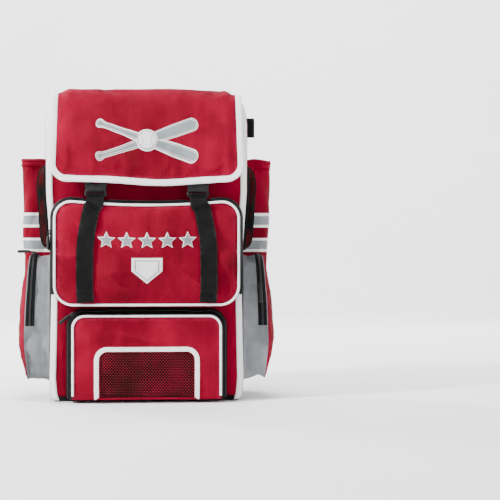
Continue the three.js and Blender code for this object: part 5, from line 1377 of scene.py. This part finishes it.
def web(form, points, across=(1, 0, 0), profile=None, finish=0, count=None, smooth=True):
    points = np.asarray(points, float)
    line = curve(points, count or max(int(lengths_of(points)[-1] / 2.5), 12)) if smooth else points
    tangents = unit(np.gradient(line, axis=0))
    facing = np.cross(np.broadcast_to(np.asarray(across, float), line.shape), tangents)
    sweep(form, line, facing, WEB_PROFILE if profile is None else profile, finish=finish, worn=0.1)
    return line


STRAP_OUT = 97.0
BUCKLE_BOTTOM, BUCKLE_TOP, BUCKLE_Y = 391.0, 417.0, -FRONT - 24
WRAP = WEB / 2 + GAP + 0.1


def strap_x(z):
    share = (z - UPPER_BOTTOM) / UPPER_HEIGHT
    return STRAP_OUT + 20 * level(share, np.array([0, 0.2, 0.6, 0.84, 1.0]), np.array([0.85, 1.0, 0.92, 0.45, 0.1]), 0.1)


def make_front_straps():
    for word, side in SIDES.items():
        heights = np.linspace(368, UPPER_BOTTOM + 0.055 * UPPER_HEIGHT, 60)
        middles = side * np.array([float(strap_x(z)) for z in heights])
        stands = []
        for x, z in zip(middles, heights):
            spots = x + np.linspace(-16, 16, 7)
            sag = UPPER_DIP * (z - UPPER_BOTTOM) / UPPER_HEIGHT * (1 - (spots / 180) ** 2)
            stands.append(upper.depth_at(spots, np.full(7, z) + sag).max())
        padded = np.pad(stands, 6, mode="edge")
        highest = np.array([padded[i : i + 7].max() for i in range(len(padded) - 6)])
        stands = np.convolve(highest, np.full(7, 1 / 7), mode="valid")
        down = [(x, -FRONT - stand - WRAP - 0.3, z) for x, stand, z in zip(middles, stands, heights)]
        centre = side * STRAP_OUT
        slot = BUCKLE_BOTTOM + 4 + 2.5
        front = BUCKLE_Y - 5 - WRAP
        over = [
            (BUCKLE_Y + 5 + WRAP, slot + 0.6), (BUCKLE_Y, slot + 0.6), (front + 1, slot), (front, slot - 4),
            (front - 1.5, BUCKLE_BOTTOM - 1), (-FRONT - 43, 388.3), (-FRONT - 52, 384.6), (-FRONT - 58, 377),
        ]
        points = [(centre, y, z) for y, z in over] + down
        form = Form(webbing_finish, black_thread)
        line = web(form, points, count=190)
        foot = line[-1] + np.array([0, -1.15, 0])
        box = np.array([(-12, 3), (12, 3), (12, 22), (-12, 22), (-12, 3)], float)
        path = np.array([foot + np.array([u, 0, v]) for u, v in spaced(box, 60)])
        path[:, 1] = np.interp(path[:, 2], line[::-1, 2], line[::-1, 1]) - 1.15
        stitches(form, path, (0, -1, 0), 2.6, 2.0, 0.7, finish=1)
        cross = np.array([foot + np.array([u, 0, v]) for u, v in spaced(np.array([(-12, 3), (12, 22)]), 20)])
        cross[:, 1] = np.interp(cross[:, 2], line[::-1, 2], line[::-1, 1]) - 1.15
        stitches(form, cross, (0, -1, 0), 2.6, 2.0, 0.7, finish=1)
        form.piece(f"front_webbing_{word}", [f"front_strap_{word}"])

        clip_slot, clip_top = 417.3 + 3.5, 428.3
        clip_front, clip_back = BUCKLE_Y - 4 - WRAP, BUCKLE_Y + 4 + WRAP
        tab = [
            (BUCKLE_Y - 1, 463), (clip_front, clip_top + 12), (clip_front, clip_top), (clip_front, clip_slot + 4),
            (clip_front + WRAP, clip_slot + 1.7), (clip_back - WRAP, clip_slot + 1.7), (clip_back, clip_slot + 4),
            (clip_back, clip_top + 8),
        ]
        tab_form = Form(webbing_finish)
        web(tab_form, [(centre, y, z) for y, z in tab], count=70)
        tab_form.piece(f"flap_webbing_{word}", [f"flap_tab_{word}"])

        body = Form(plastic)
        edge = np.array([
            (-19, 391), (19, 391), (21, 393), (21, 400), (18.6, 403), (18.2, 408), (20.4, 411), (20.8, 415), (19, 417),
            (7, 417), (6, 414.5), (-6, 414.5), (-7, 417), (-19, 417), (-20.8, 415), (-20.4, 411), (-18.2, 408), (-18.6, 403),
            (-21, 400), (-21, 393),
        ], float)
        hole = rectangle(-16.8, 16.8, 395, 400, 1.2)
        at = moved(centre, BUCKLE_Y, 0)
        plate_form(body, [edge, hole], 10, 1.4, at)
        plate_form(body, [rectangle(-13, 13, 402.5, 412, 2.5)], 2.4, 0.7, moved(centre, BUCKLE_Y - 4.9, 0))
        for sign in (-1, 1):
            ridge = [rectangle(sign * 18.5 - 1.6, sign * 18.5 + 1.6, 403.5, 410, 1.2)]
            plate_form(body, ridge, 8.5, 0.8, at)
        body.piece(f"buckle_socket_{word}", [f"buckle_body_{word}"], weld=True, sharp=35)

        clip = Form(plastic)
        outline = np.array([(-18, 417.4), (18, 417.4), (20, 419.4), (20, 425.5), (17.6, 428.2), (-17.6, 428.2), (-20, 425.5), (-20, 419.4)], float)
        plate_form(clip, [outline, rectangle(-16.8, 16.8, clip_slot, clip_slot + 4, 1.0)], 8, 1.2, at)
        for sign in (-1, 1):
            prong = [rectangle(sign * 10 - 2.6, sign * 10 + 2.6, 412.6, 418.4, 1.0)]
            plate_form(clip, prong, 4.4, 0.8, moved(centre, BUCKLE_Y - 1.2, 0))
        clip.piece(f"buckle_plug_{word}", [f"buckle_clip_{word}"], weld=True, sharp=35)


def make_pull(name, at, normal, hang, replaced):
    """A slider with its bridge, and a moulded pull with a grip that hangs from it."""
    depth = -unit(np.asarray(normal, float))
    hang = np.asarray(hang, float)
    long = -unit(hang - depth * (hang @ depth))
    across = np.cross(depth, long)
    turn = np.stack([across, depth, long])

    def place(points):
        return points @ turn + np.asarray(at, float)

    form = Form(plastic)
    shell = np.array([(-3.2, -6.4), (3.2, -6.4), (4.5, -3), (4.5, 3), (3.0, 6.4), (-3.0, 6.4), (-4.5, 3), (-4.5, -3)], float)
    plate_form(form, [shell], 3.0, 0.8, lambda p: place(p + np.array([0, -GAP - 1.5, 0])))
    bridge = curve([(0, -1.6, -4.5), (0, -4.2, -3), (0, -4.9, 0), (0, -4.2, 3), (0, -1.6, 4.5)], 14)
    sweep(form, place(bridge), across, ring_profile(1.8, 2.6, 8))
    cord_line = curve([(0, -4.4, 3.0), (0, -5.6, -1), (0, -5.9, -6), (0, -6.0, -10)], 14)
    for sign in (-1, 1):
        sweep(form, place(cord_line + np.array([sign * 1.2, 0, 0])), across, ring_profile(2.0, 2.0, 8))
    grip = curve([(0, -6.0, -8), (0, -6.1, -16), (0, -6.0, -24), (0, -5.9, -32.5)], 40)
    ribs = 1 + 0.12 * np.cos(np.arange(40) * math.pi / 2)
    taper = np.clip(np.minimum(np.arange(40), 39 - np.arange(40)) / 2.5, 0.55, 1)
    sweep(form, place(grip), depth, ring_profile(7.5, 6.0, 12, 0.7), wide=ribs * taper, high=taper)
    form.piece(name, replaced, sharp=50)


def make_pulls():
    skin = GAP + 1.8 + 0.6
    half = 180 - upper.drawn(0.5) + skin
    make_pull("upper_pull", (-half, -FRONT - 27, UPPER_BOTTOM + 0.68 * UPPER_HEIGHT), (-1, 0, 0), (0, 0, -1), ["upper_zip_pull"])
    turn = math.radians(50)
    radius = 34 - lower.drawn(0.42) + skin
    radial = np.array([-math.cos(turn), 0, math.sin(turn)])
    corner = np.array([-152 + 34, -FRONT - 0.42 * 42, 177 - 34.0]) + radial * radius
    make_pull("lower_pull", corner, radial + np.array([0, -0.38, 0]), (-math.sin(turn), 0, -math.cos(turn)), ["lower_zip_pull"])
    make_pull("side_pull_left", (-SIDE_SEAT - 33, SIDE_FRONT_Y + 28, 282 - 0.7), (0, 0, 1), (-1, 0, 0), ["side_zip_pull_left"])
    make_pull("side_pull_right", (SIDE_SEAT + 35, SIDE_FRONT_Y - 0.5, 282 - 62), (0, -1, 0), (0, 0, -1), ["side_zip_pull_right"])


# Back pads and harness

def make_back_pads():
    specs = [("centre", 0, -77.0, 77.0, 493.0, 493.0, red)]
    for word, side in SIDES.items():
        specs.append((word, side, 82.2, 165.0, 495.0, 480.0, spacer))
    for word, side, inner, outer, top_inner, top_outer, finish in specs:
        shares = np.sin(np.linspace(-1, 1, 56) * math.pi / 2) * 0.5 + 0.5
        rows = np.sin(np.linspace(-1, 1, 106) * math.pi / 2) * 0.5 + 0.5
        x = inner + (outer - inner) * shares[None] * np.ones_like(rows)[:, None]
        top = top_inner + (top_outer - top_inner) * shares
        z = 9.3 + (top[None] - 9.3) * rows[:, None]
        x = x * (side or 1)
        edge = np.minimum(np.minimum(np.abs(x - inner * (side or 1)), np.abs(x - outer * (side or 1))), np.minimum(z - 9.3, top[None] - z))
        puff = 9 * np.sqrt(np.clip(1 - (1 - np.clip(edge / 7, 0, 1)) ** 2, 0, 1))
        place = np.stack([x, z, np.zeros_like(x)], -1)
        seed = 81 + side
        if side:
            waves = 0.7 * noise(place, 34, seed)
        else:
            slanted = np.stack([x - 0.4 * z, z + 0.25 * x, np.zeros_like(x)], -1)
            waves = 1.0 * noise(place, np.array([60, 45, 1]), seed) + 1.2 * creases(slanted, np.array([120, 30, 1]), seed + 3)
            waves = waves - 2.2 * np.exp(-(((z - 430) / 9) ** 2)) * creases(place, np.array([24, 60, 1]), seed + 4)
        puff = puff + waves * fade(edge, 14) - 0.4
        back = body_back(z) + GAP
        outer_side = np.stack([x, back + puff, z], -1)
        outer_side = settled(outer_side, edge < 3, np.array([0, 0, 250]), cap=5)
        inner_side = np.stack([x, back + 0.2 * np.ones_like(z), z], -1)
        form = Form(finish)
        form.add(outer_side, quads(*x.shape), x, z, np.clip(1 - edge / 5, 0, 1))
        form.add(inner_side[::5, ::5], quads(*inner_side[::5, ::5].shape[:2]), 0, 0, 0)
        pad = form.piece(f"back_cushion_{word}", [f"back_pad_{word}"], sharp=70)
    for word, side in SIDES.items():
        form = Form(white)
        heights = np.linspace(9, 300, 150)
        line = np.c_[np.full(150, side * 79.6), body_back(heights) + 5.4, heights]
        swell = 1 + 0.08 * noise(line, 9, 90)
        sweep(form, line, (0, 1, 0), ring_profile(4.6, 5.0, 12), wide=swell, high=swell, worn=0.3)
        form.piece(f"back_piping_{word}")


STRAP_PLACES = np.arange(len(STRAP_ROWS))[::-1]
STRAP_UP = STRAP_ROWS[::-1]


def strap_y(z):
    return FRONT + STRAP_BOW * level(np.asarray(z) / BODY_HEIGHT, STRAP_UP[:, 0], STRAP_UP[:, 3], 0.014)


def beside(line, distance):
    """A line of (x, z) moved sideways, to its left when the distance is positive."""
    tangent = unit(np.gradient(line, axis=0))
    return line + np.stack([-tangent[:, 1], tangent[:, 0]], 1) * distance


def on_harness(line, lift=0.0):
    x, z = line[..., 0], line[..., 1]
    slope = (strap_y(z + 4) - strap_y(z - 4)) / 8
    normal = unit(np.stack([np.zeros_like(z), np.ones_like(z), -slope], -1))
    return np.stack([x, strap_y(z), z], -1) + normal * np.asarray(lift)[..., None], normal


ARCH_TOP, NECK_TOP = BODY_HEIGHT * 0.88, BODY_HEIGHT * 0.96
UP_ROWS = STRAP_UP * np.array([BODY_HEIGHT, BODY_WIDTH / 2, BODY_WIDTH / 2, 1])


def half_arch(rows, count, reach, power):
    """A smooth line of (x, z) through the rows, rounded within reach of the bag's middle."""
    line = curve(np.c_[rows[:, 1], rows[:, 0]], count)
    by_x = np.argsort(line[:, 0])
    middle_z, border_z = np.interp([0, reach], line[by_x, 0], line[by_x, 1])
    share = np.clip(np.abs(line[:, 0]) / reach, 0, 1)
    near = (share < 1) & (np.abs(line[:, 1] - middle_z) <= np.abs(border_z - middle_z) + 0.1)
    line[near, 1] = (middle_z + (border_z - middle_z) * share**power)[near]
    return line


INNER_LOW = half_arch(UP_ROWS[UP_ROWS[:, 0] <= ARCH_TOP + 0.1], 400, 48, 3.2)
INNER_HIGH = half_arch(UP_ROWS[UP_ROWS[:, 0] >= NECK_TOP - 0.1], 160, 60, 2.4)
OUTER = curve(np.c_[UP_ROWS[:, 2], UP_ROWS[:, 0]], 400)


def make_harness():
    margin = BINDING - 1.0
    low = beside(INNER_LOW, -margin)
    high = beside(INNER_HIGH, -margin)
    seam = np.c_[np.full(16, 0.25), np.linspace(ARCH_TOP + margin, NECK_TOP - margin, 16)]
    low, high = low[low[:, 0] > 1.0], high[high[:, 0] > 1.0]
    inner = np.vstack([low, seam, high])
    outer = beside(OUTER, margin)
    rows = 204
    at_inner, at_outer = lengths_of(inner), lengths_of(outer)
    keys_in = [0, at_inner[len(low)], at_inner[len(low) + 15], at_inner[-1]]
    heights_out = [outer[0, 1], ARCH_TOP, NECK_TOP, outer[-1, 1]]
    keys_out = np.interp(heights_out, outer[:, 1], at_outer)
    steps = np.linspace(0, 1, rows)
    marks = np.array(keys_in) / at_inner[-1]
    inner_at = np.stack([np.interp(steps * at_inner[-1], at_inner, c) for c in inner.T], 1)
    outer_at = np.stack([np.interp(np.interp(steps, marks, keys_out), at_outer, c) for c in outer.T], 1)
    columns = 43
    share = np.sin(np.linspace(-1, 1, columns) * math.pi / 2) * 0.5 + 0.5
    flat = inner_at[:, None] * (1 - share)[None, :, None] + outer_at[:, None] * share[None, :, None]
    for word, side in SIDES.items():
        seed = 91 if side < 0 else 95
        z = flat[..., 1]
        width = np.linalg.norm(outer_at - inner_at, axis=1)[:, None]
        edge = np.minimum(share, 1 - share)[None] * width
        at_seam = (np.abs(flat[..., 0]) < 14) & (z > ARCH_TOP)
        taper = 0.6 + 0.4 * np.minimum(z / 130, 1) ** 2
        puff = taper * (3.0 + 4.0 * np.sqrt(np.clip(1 - (1 - np.clip(edge / 16, 0, 1)) ** 2, 0, 1)))
        place = np.stack([flat[..., 0], z, np.zeros_like(z)], -1)
        slanted = np.stack([flat[..., 0] - 0.5 * z, z + 0.22 * flat[..., 0], np.zeros_like(z)], -1)
        waves = 1.6 * noise(place, 40, seed)
        pleats = 3.6 * (1 - np.abs(noise(slanted, np.array([70, 30, 1]), seed + 1))) ** 5 * fade(372 - z, 60)
        tips = 1.8 * noise(place, np.array([12, 9, 1]), seed + 2) * fade(190 - z, 40)
        seam_dip = 2.4 * np.exp(-((flat[..., 0] / 3.0) ** 2)) * ((z > ARCH_TOP) & (z < NECK_TOP))
        neck = 3.0 * noise(place, np.array([10, 50, 1]), seed + 3) * fade(z - 505, 20) * fade(70 - flat[..., 0], 30)
        lift = puff + (waves - pleats + tips + neck) * fade(edge, 12) - seam_dip
        mirrored = flat * np.array([side, 1])
        top, _ = on_harness(mirrored, lift)
        low_side, _ = on_harness(mirrored, -puff * 0.85)
        by_anchor = (z < 172) & (np.abs(flat[..., 0] - LOCK_OUT) < 21)
        at_middle = (flat[..., 0] < 1) & (z > ARCH_TOP)
        top = settled(top, (edge < 2) | by_anchor | at_middle, np.array([0, 0, 300]), cap=5)
        form = Form(red_strap[word], lining, red_thread)
        worn = np.clip(1 - edge / 4, 0, 1) * np.ones_like(z)
        form.add(top, quads(*z.shape), flat[..., 0], z, worn)
        form.add(low_side, quads(*z.shape), flat[..., 0], z, 0, 1)
        count_r, count_c = z.shape
        loop = [(0, c) for c in range(count_c - 1)] + [(r, count_c - 1) for r in range(count_r - 1)]
        loop += [(count_r - 1, c) for c in range(count_c - 1, 0, -1)] + [(r, 0) for r in range(count_r - 1, 0, -1)]
        rim = np.array([[top[r, c] for r, c in loop], [low_side[r, c] for r, c in loop]])
        form.add(rim, quads(2, len(loop), False, True), 0, 0, 0)
        strap = form.piece(f"shoulder_pad_{word}", [f"shoulder_strap_{word}"], weld=True, sharp=60)

        line = beside(OUTER, BINDING / 2) * np.array([side, 1])
        binding_piece(f"strap_hem_{word}", spaced(line, 350), [f"strap_binding_{word}"], 101 + side, -side)
    arch = beside(INNER_LOW, -BINDING / 2)
    whole = np.vstack([arch, arch[:-1][::-1] * np.array([-1, 1])])
    binding_piece("arch_hem", spaced(whole, 470), ["arch_binding"], 110, 1)
    neck = beside(INNER_HIGH, -BINDING / 2)
    whole = np.vstack([neck[::-1], neck[1:] * np.array([-1, 1])])
    binding_piece("neck_hem", spaced(whole, 160), ["neck_binding"], 112, -1)


def binding_piece(name, line, replaced, seed, turn):
    """White folded tape along the harness, with puckers; turn is the side on which the pad lies."""
    form = Form(white, white_thread)
    points, facing = on_harness(line)
    z = line[:, 1]
    taper = 0.62 + 0.38 * np.minimum(z / 130, 1) ** 2
    rough = fade(330 - z, 120)
    swell = 1 + (0.07 + 0.11 * rough) * noise(points, 8, seed) + (0.05 + 0.09 * rough) * noise(points, 3.6, seed + 1)
    profile = hem_profile(BINDING, BINDING_THICKNESS) * np.array([turn, 1])
    sweep(form, points, facing, profile, wide=swell, high=swell * taper, worn=0.25)
    _, sides, lifts = frames(points, facing)
    height = (2.75 * taper * swell)[:, None]
    stitches(form, points - sides * turn * BINDING * 0.31 + lifts * height, facing, finish=1)
    form.piece(name, replaced)


LOCK_OUT, LOCK_TOP, LOCK_BOTTOM, LOCK_Y = 146.0, 98.0, 58.0, 135.0


def make_locks():
    front, back = LOCK_Y - 2.5 - WRAP, LOCK_Y + 2.5 + WRAP
    bar = 4.4
    slot = (40 - 3 * bar) / 2
    middle = LOCK_BOTTOM + bar + slot
    for word, side in SIDES.items():
        centre = side * LOCK_OUT
        pad_top = [(z, float(strap_y(z)) + 0.9 + 7.2 * (0.6 + 0.4 * (z / 130) ** 2 if z < 130 else 1)) for z in (160, 140, 122, 108)]
        anchor = [(y + WRAP, z) for z, y in pad_top]
        anchor += [
            (front, LOCK_TOP + 2), (front, LOCK_TOP - bar), (front + WRAP, LOCK_TOP - bar - 1.9),
            (back - WRAP, LOCK_TOP - bar - 1.9), (back, LOCK_TOP - bar), (back, LOCK_TOP + 2),
        ]
        anchor += [(float(np.interp(z, [108, 122, 140, 160], [p[1] for p in pad_top[::-1]])) + WRAP + WEB + 0.5, z) for z in (112, 126, 146)]
        form = Form(webbing_finish, black_thread)
        line = web(form, [(centre, y, z) for y, z in anchor], count=150)
        row = line[-22:] + np.array([0, 1.2, 0])
        for shift in (-11, 11):
            stitches(form, row + np.array([shift, 0, 0]), (0, 1, 0), 2.6, 2.0, 0.7, finish=1)
        bar_line = np.array([row[-6] + np.array([u, 0.1, 0]) for u in np.linspace(-12, 12, 16)])
        stitches(form, bar_line, (0, 1, 0), 2.2, 1.8, 0.8, finish=1)
        form.piece(f"anchor_webbing_{word}", [f"strap_anchor_{word}"])

        lock = Form(plastic)
        edge = np.array([
            (-15, 58), (15, 58), (18.5, 60), (20, 64), (19.6, 72), (20.6, 78), (21.4, 84), (21.5, 95), (19.5, 98), (-19.5, 98),
            (-21.5, 95), (-21.4, 84), (-20.6, 78), (-19.6, 72), (-20, 64), (-18.5, 60),
        ], float)
        holes = [rectangle(-16.8, 16.8, middle + bar, middle + bar + slot, 1.4), rectangle(-16.8, 16.8, 62.4, 62.4 + slot, 1.4)]
        at = moved(centre, LOCK_Y, 0)
        plate_form(lock, [edge, *holes], 5, 1.2, at)
        for z in (LOCK_TOP - bar / 2, middle + bar / 2, LOCK_BOTTOM + bar / 2):
            rod = np.array([(centre + u, LOCK_Y, z) for u in np.linspace(-18, 18, 12)])
            sweep(lock, rod, (0, 1, 0), ring_profile(bar, 5.4, 12, 0.8))
        lock.piece(f"strap_adjuster_{word}", [f"ladder_lock_{word}"], weld=True, sharp=35)

        pad_face = FRONT + GAP + 9 + WRAP
        lying = WEB / 2 + 0.1
        run = [
            (back + 0.8, 38), (back, 56), (back, middle + bar), (back - WRAP, middle + bar + 1.9),
            (front + WRAP, middle + bar + 1.9), (front, middle + bar), (front, 60), (front - 2, 42), (front + 1, 27),
            (front + 10, 17), (front + 26, 12.5), (169, 10.5), (174, 6.5), (171, 2.4), (162, lying), (front, lying),
            (pad_face + 10, lying), (pad_face + 1.5, 5), (pad_face, 12), (pad_face, 24),
        ]
        lower_web = Form(webbing_finish, black_thread)
        line = web(lower_web, [(centre, y, z) for y, z in run], count=150)
        line[:, 2] = np.maximum(line[:, 2], lying)
        lower_web.piece(f"adjusting_webbing_{word}", [f"lower_webbing_{word}"])


def make_hooks():
    for word, side in SIDES.items():
        centre = side * 160.0
        lean = math.radians(12)
        turn = np.array([[1, 0, 0], [0, math.cos(lean), math.sin(lean)], [0, -math.sin(lean), math.cos(lean)]])

        def place(points, centre=centre, turn=turn):
            return points @ turn + np.array([centre, 105.5, 566])

        form = Form(plastic)
        head = np.array([(-15, -11.5), (-19, -8.5), (-19, -1.5), (-17.5, 0), (17.5, 0), (19, -1.5), (19, -8.5), (15, -11.5), (10, -14), (-10, -14)], float)
        plate_form(form, [head, rectangle(-15.75, 15.75, -11, -4.5, 1.2)], 7, 1.4, place)
        rows = curve(HOOK_ROWS * 80, 70)
        rows = np.vstack([[(0, 10.0, 34.0)], rows])
        line = np.c_[rows[:, 0], np.zeros(len(rows)), -rows[:, 1]]
        thick = np.linspace(7.0, 5.6, len(rows))
        ends = np.clip((len(rows) - 1 - np.arange(len(rows))) / 3, 0.35, 1)
        profile = ring_profile(1, 1, 20, 0.75)
        sweep(form, place(line), turn[1], profile, wide=rows[:, 2] * ends, high=thick * ends)
        form.piece(f"hook_{word}", [f"fence_hook_{word}"], weld=True, sharp=45)

        near, far, slot = 105.5 - 3.5 - WRAP, 105.5 + 3.5 + WRAP + 1, 566 - 4.5 - 3.25
        tab = [
            (float(body_back(546)) + WRAP + 0.5, 546), (near - WEB - 0.9, 574), (near + 0.5, 583), (105.5, 586),
            (far - 2, 581), (far, 570), (far, 561.5), (far - WRAP, slot - 0.4), (near + WRAP, slot + 0.8),
            (near - 0.2, 561.5), (near - 0.2, 574),
        ]
        web_form = Form(webbing_finish, black_thread)
        line = web(web_form, [(centre, y, z) for y, z in tab], profile=ring_profile(30, WEB, 20, 0.32), count=90)
        bar = np.array([(centre + u, far + 1.1, 573.5) for u in np.linspace(-12, 12, 18)])
        stitches(web_form, bar, (0, 1, 0), 2.2, 1.8, 0.8, finish=1)
        web_form.piece(f"hook_webbing_{word}", [f"hook_tab_{word}"])


def make_side_loop():
    root = BODY_WIDTH / 2 + GAP + 0.5
    points = []
    for out, back in ((0, 3.4), (0.45, 4.7), (0.86, 4.3), (1, 0), (0.86, -4.3), (0.45, -4.7), (0, -3.4)):
        points.append((root + out * 24, 66 + 4 * out + back, BODY_HEIGHT - 35))
    form = Form(webbing_finish, black_thread)
    line = web(form, points, across=(0, 0, 1), profile=ring_profile(39, WEB, 20, 0.32), count=60)
    for layer in (line[3:12], line[-12:-3]):
        out = np.array([0, 1.2 if layer[0, 1] > 70 else -1.2, 0])
        path = np.array([layer[2] + out + np.array([0, 0, v]) for v in np.linspace(-17, 17, 24)])
        stitches(form, path, unit(out), 2.4, 1.9, 0.8, finish=1)
    form.piece("side_webbing_loop", ["side_loop"])


# Floor, light and camera

def make_stage():
    profile = [(0.02, -0.0005), (2.2, -0.0005), (3.4, -0.0005)]
    turn = np.linspace(0, math.pi / 2, 14)
    profile += [(3.4 + 1.0 * math.sin(a), 1.0 - 1.0 * math.cos(a)) for a in turn[1:]]
    profile += [(4.4, 2.6), (4.4, 4.2)]
    angles = np.linspace(0, 2 * math.pi, 96, endpoint=False)
    points = [(r * math.cos(a), r * math.sin(a), z) for r, z in profile for a in angles]
    mesh = bpy.data.meshes.new("studio_floor")
    mesh.from_pydata(points, [], quads(len(profile), 96, False, True).tolist() + [list(range(95, -1, -1))])
    mesh.shade_smooth()
    f = Finish("pale_paper")
    colour = f.mix(f.noise(3.0, 2.0), linear(226, 226, 227), linear(231, 231, 231))
    f.set(Base_Color=colour, Roughness=f.spread(f.noise(8.0), 0.3, 0.7, 0.75, 0.9), Specular_IOR_Level=0.15)
    mesh.materials.append(f.material)
    floor = bpy.data.objects.new("studio_floor", mesh)
    bpy.context.scene.collection.objects.link(floor)


def make_light(name, place, target, size, power):
    data = bpy.data.lights.new(name, "AREA")
    data.shape, data.size, data.energy = "DISK", size, power
    lamp = bpy.data.objects.new(name, data)
    lamp.location = place
    lamp.rotation_mode = "QUATERNION"
    lamp.rotation_quaternion = (Vector(target) - Vector(place)).to_track_quat("-Z", "Y")
    bpy.context.scene.collection.objects.link(lamp)


def make_lights():
    aim = (0, 0, 0.3)
    make_light("key", (-2.7, -1.75, 2.4), aim, 0.42, 315)
    make_light("fill", (1.6, -2.9, 0.9), aim, 1.2, 9)
    make_light("top", (0.0, -0.6, 3.6), aim, 1.0, 120)
    make_light("back_left", (-2.2, 1.9, 2.0), aim, 0.7, 120)
    make_light("back_right", (2.0, 2.4, 1.6), aim, 1.2, 50)
    make_light("wall", (0.0, 1.6, 3.4), (0, 4.4, 1.2), 2.0, 260)
    world = bpy.data.worlds.new("studio")
    world.use_nodes = True
    background = world.node_tree.nodes["Background"]
    background.inputs["Color"].default_value = (0.98, 0.99, 1.0, 1)
    background.inputs["Strength"].default_value = 0.13
    bpy.context.scene.world = world


def make_camera():
    """At the photograph's angle: level, in front of the bag, which stands left of the picture's middle."""
    far, plane, across = 2.6, 0.13, 0.95
    data = bpy.data.cameras.new("camera")
    data.sensor_width = 36.0
    data.lens = 36.0 * far / across
    data.clip_start, data.clip_end = 0.05, 50
    camera = bpy.data.objects.new("camera", data)
    bag_shift = (250 - 147) / 500 * across / far
    camera.location = (0, -plane - far, 0.29)
    camera.rotation_euler = (math.pi / 2, 0, -math.atan(bag_shift))
    bpy.context.scene.collection.objects.link(camera)
    bpy.context.scene.camera = camera


make_camera()
make_stage()
make_lights()
make_body()
make_edge_tapes()
make_upper_pocket()
make_lower_pocket()
make_side_pockets()
make_side_mesh()
make_sleeves()
make_flap()
make_motifs()
make_front_straps()
make_pulls()
make_back_pads()
make_harness()
make_locks()
make_hooks()
make_side_loop()
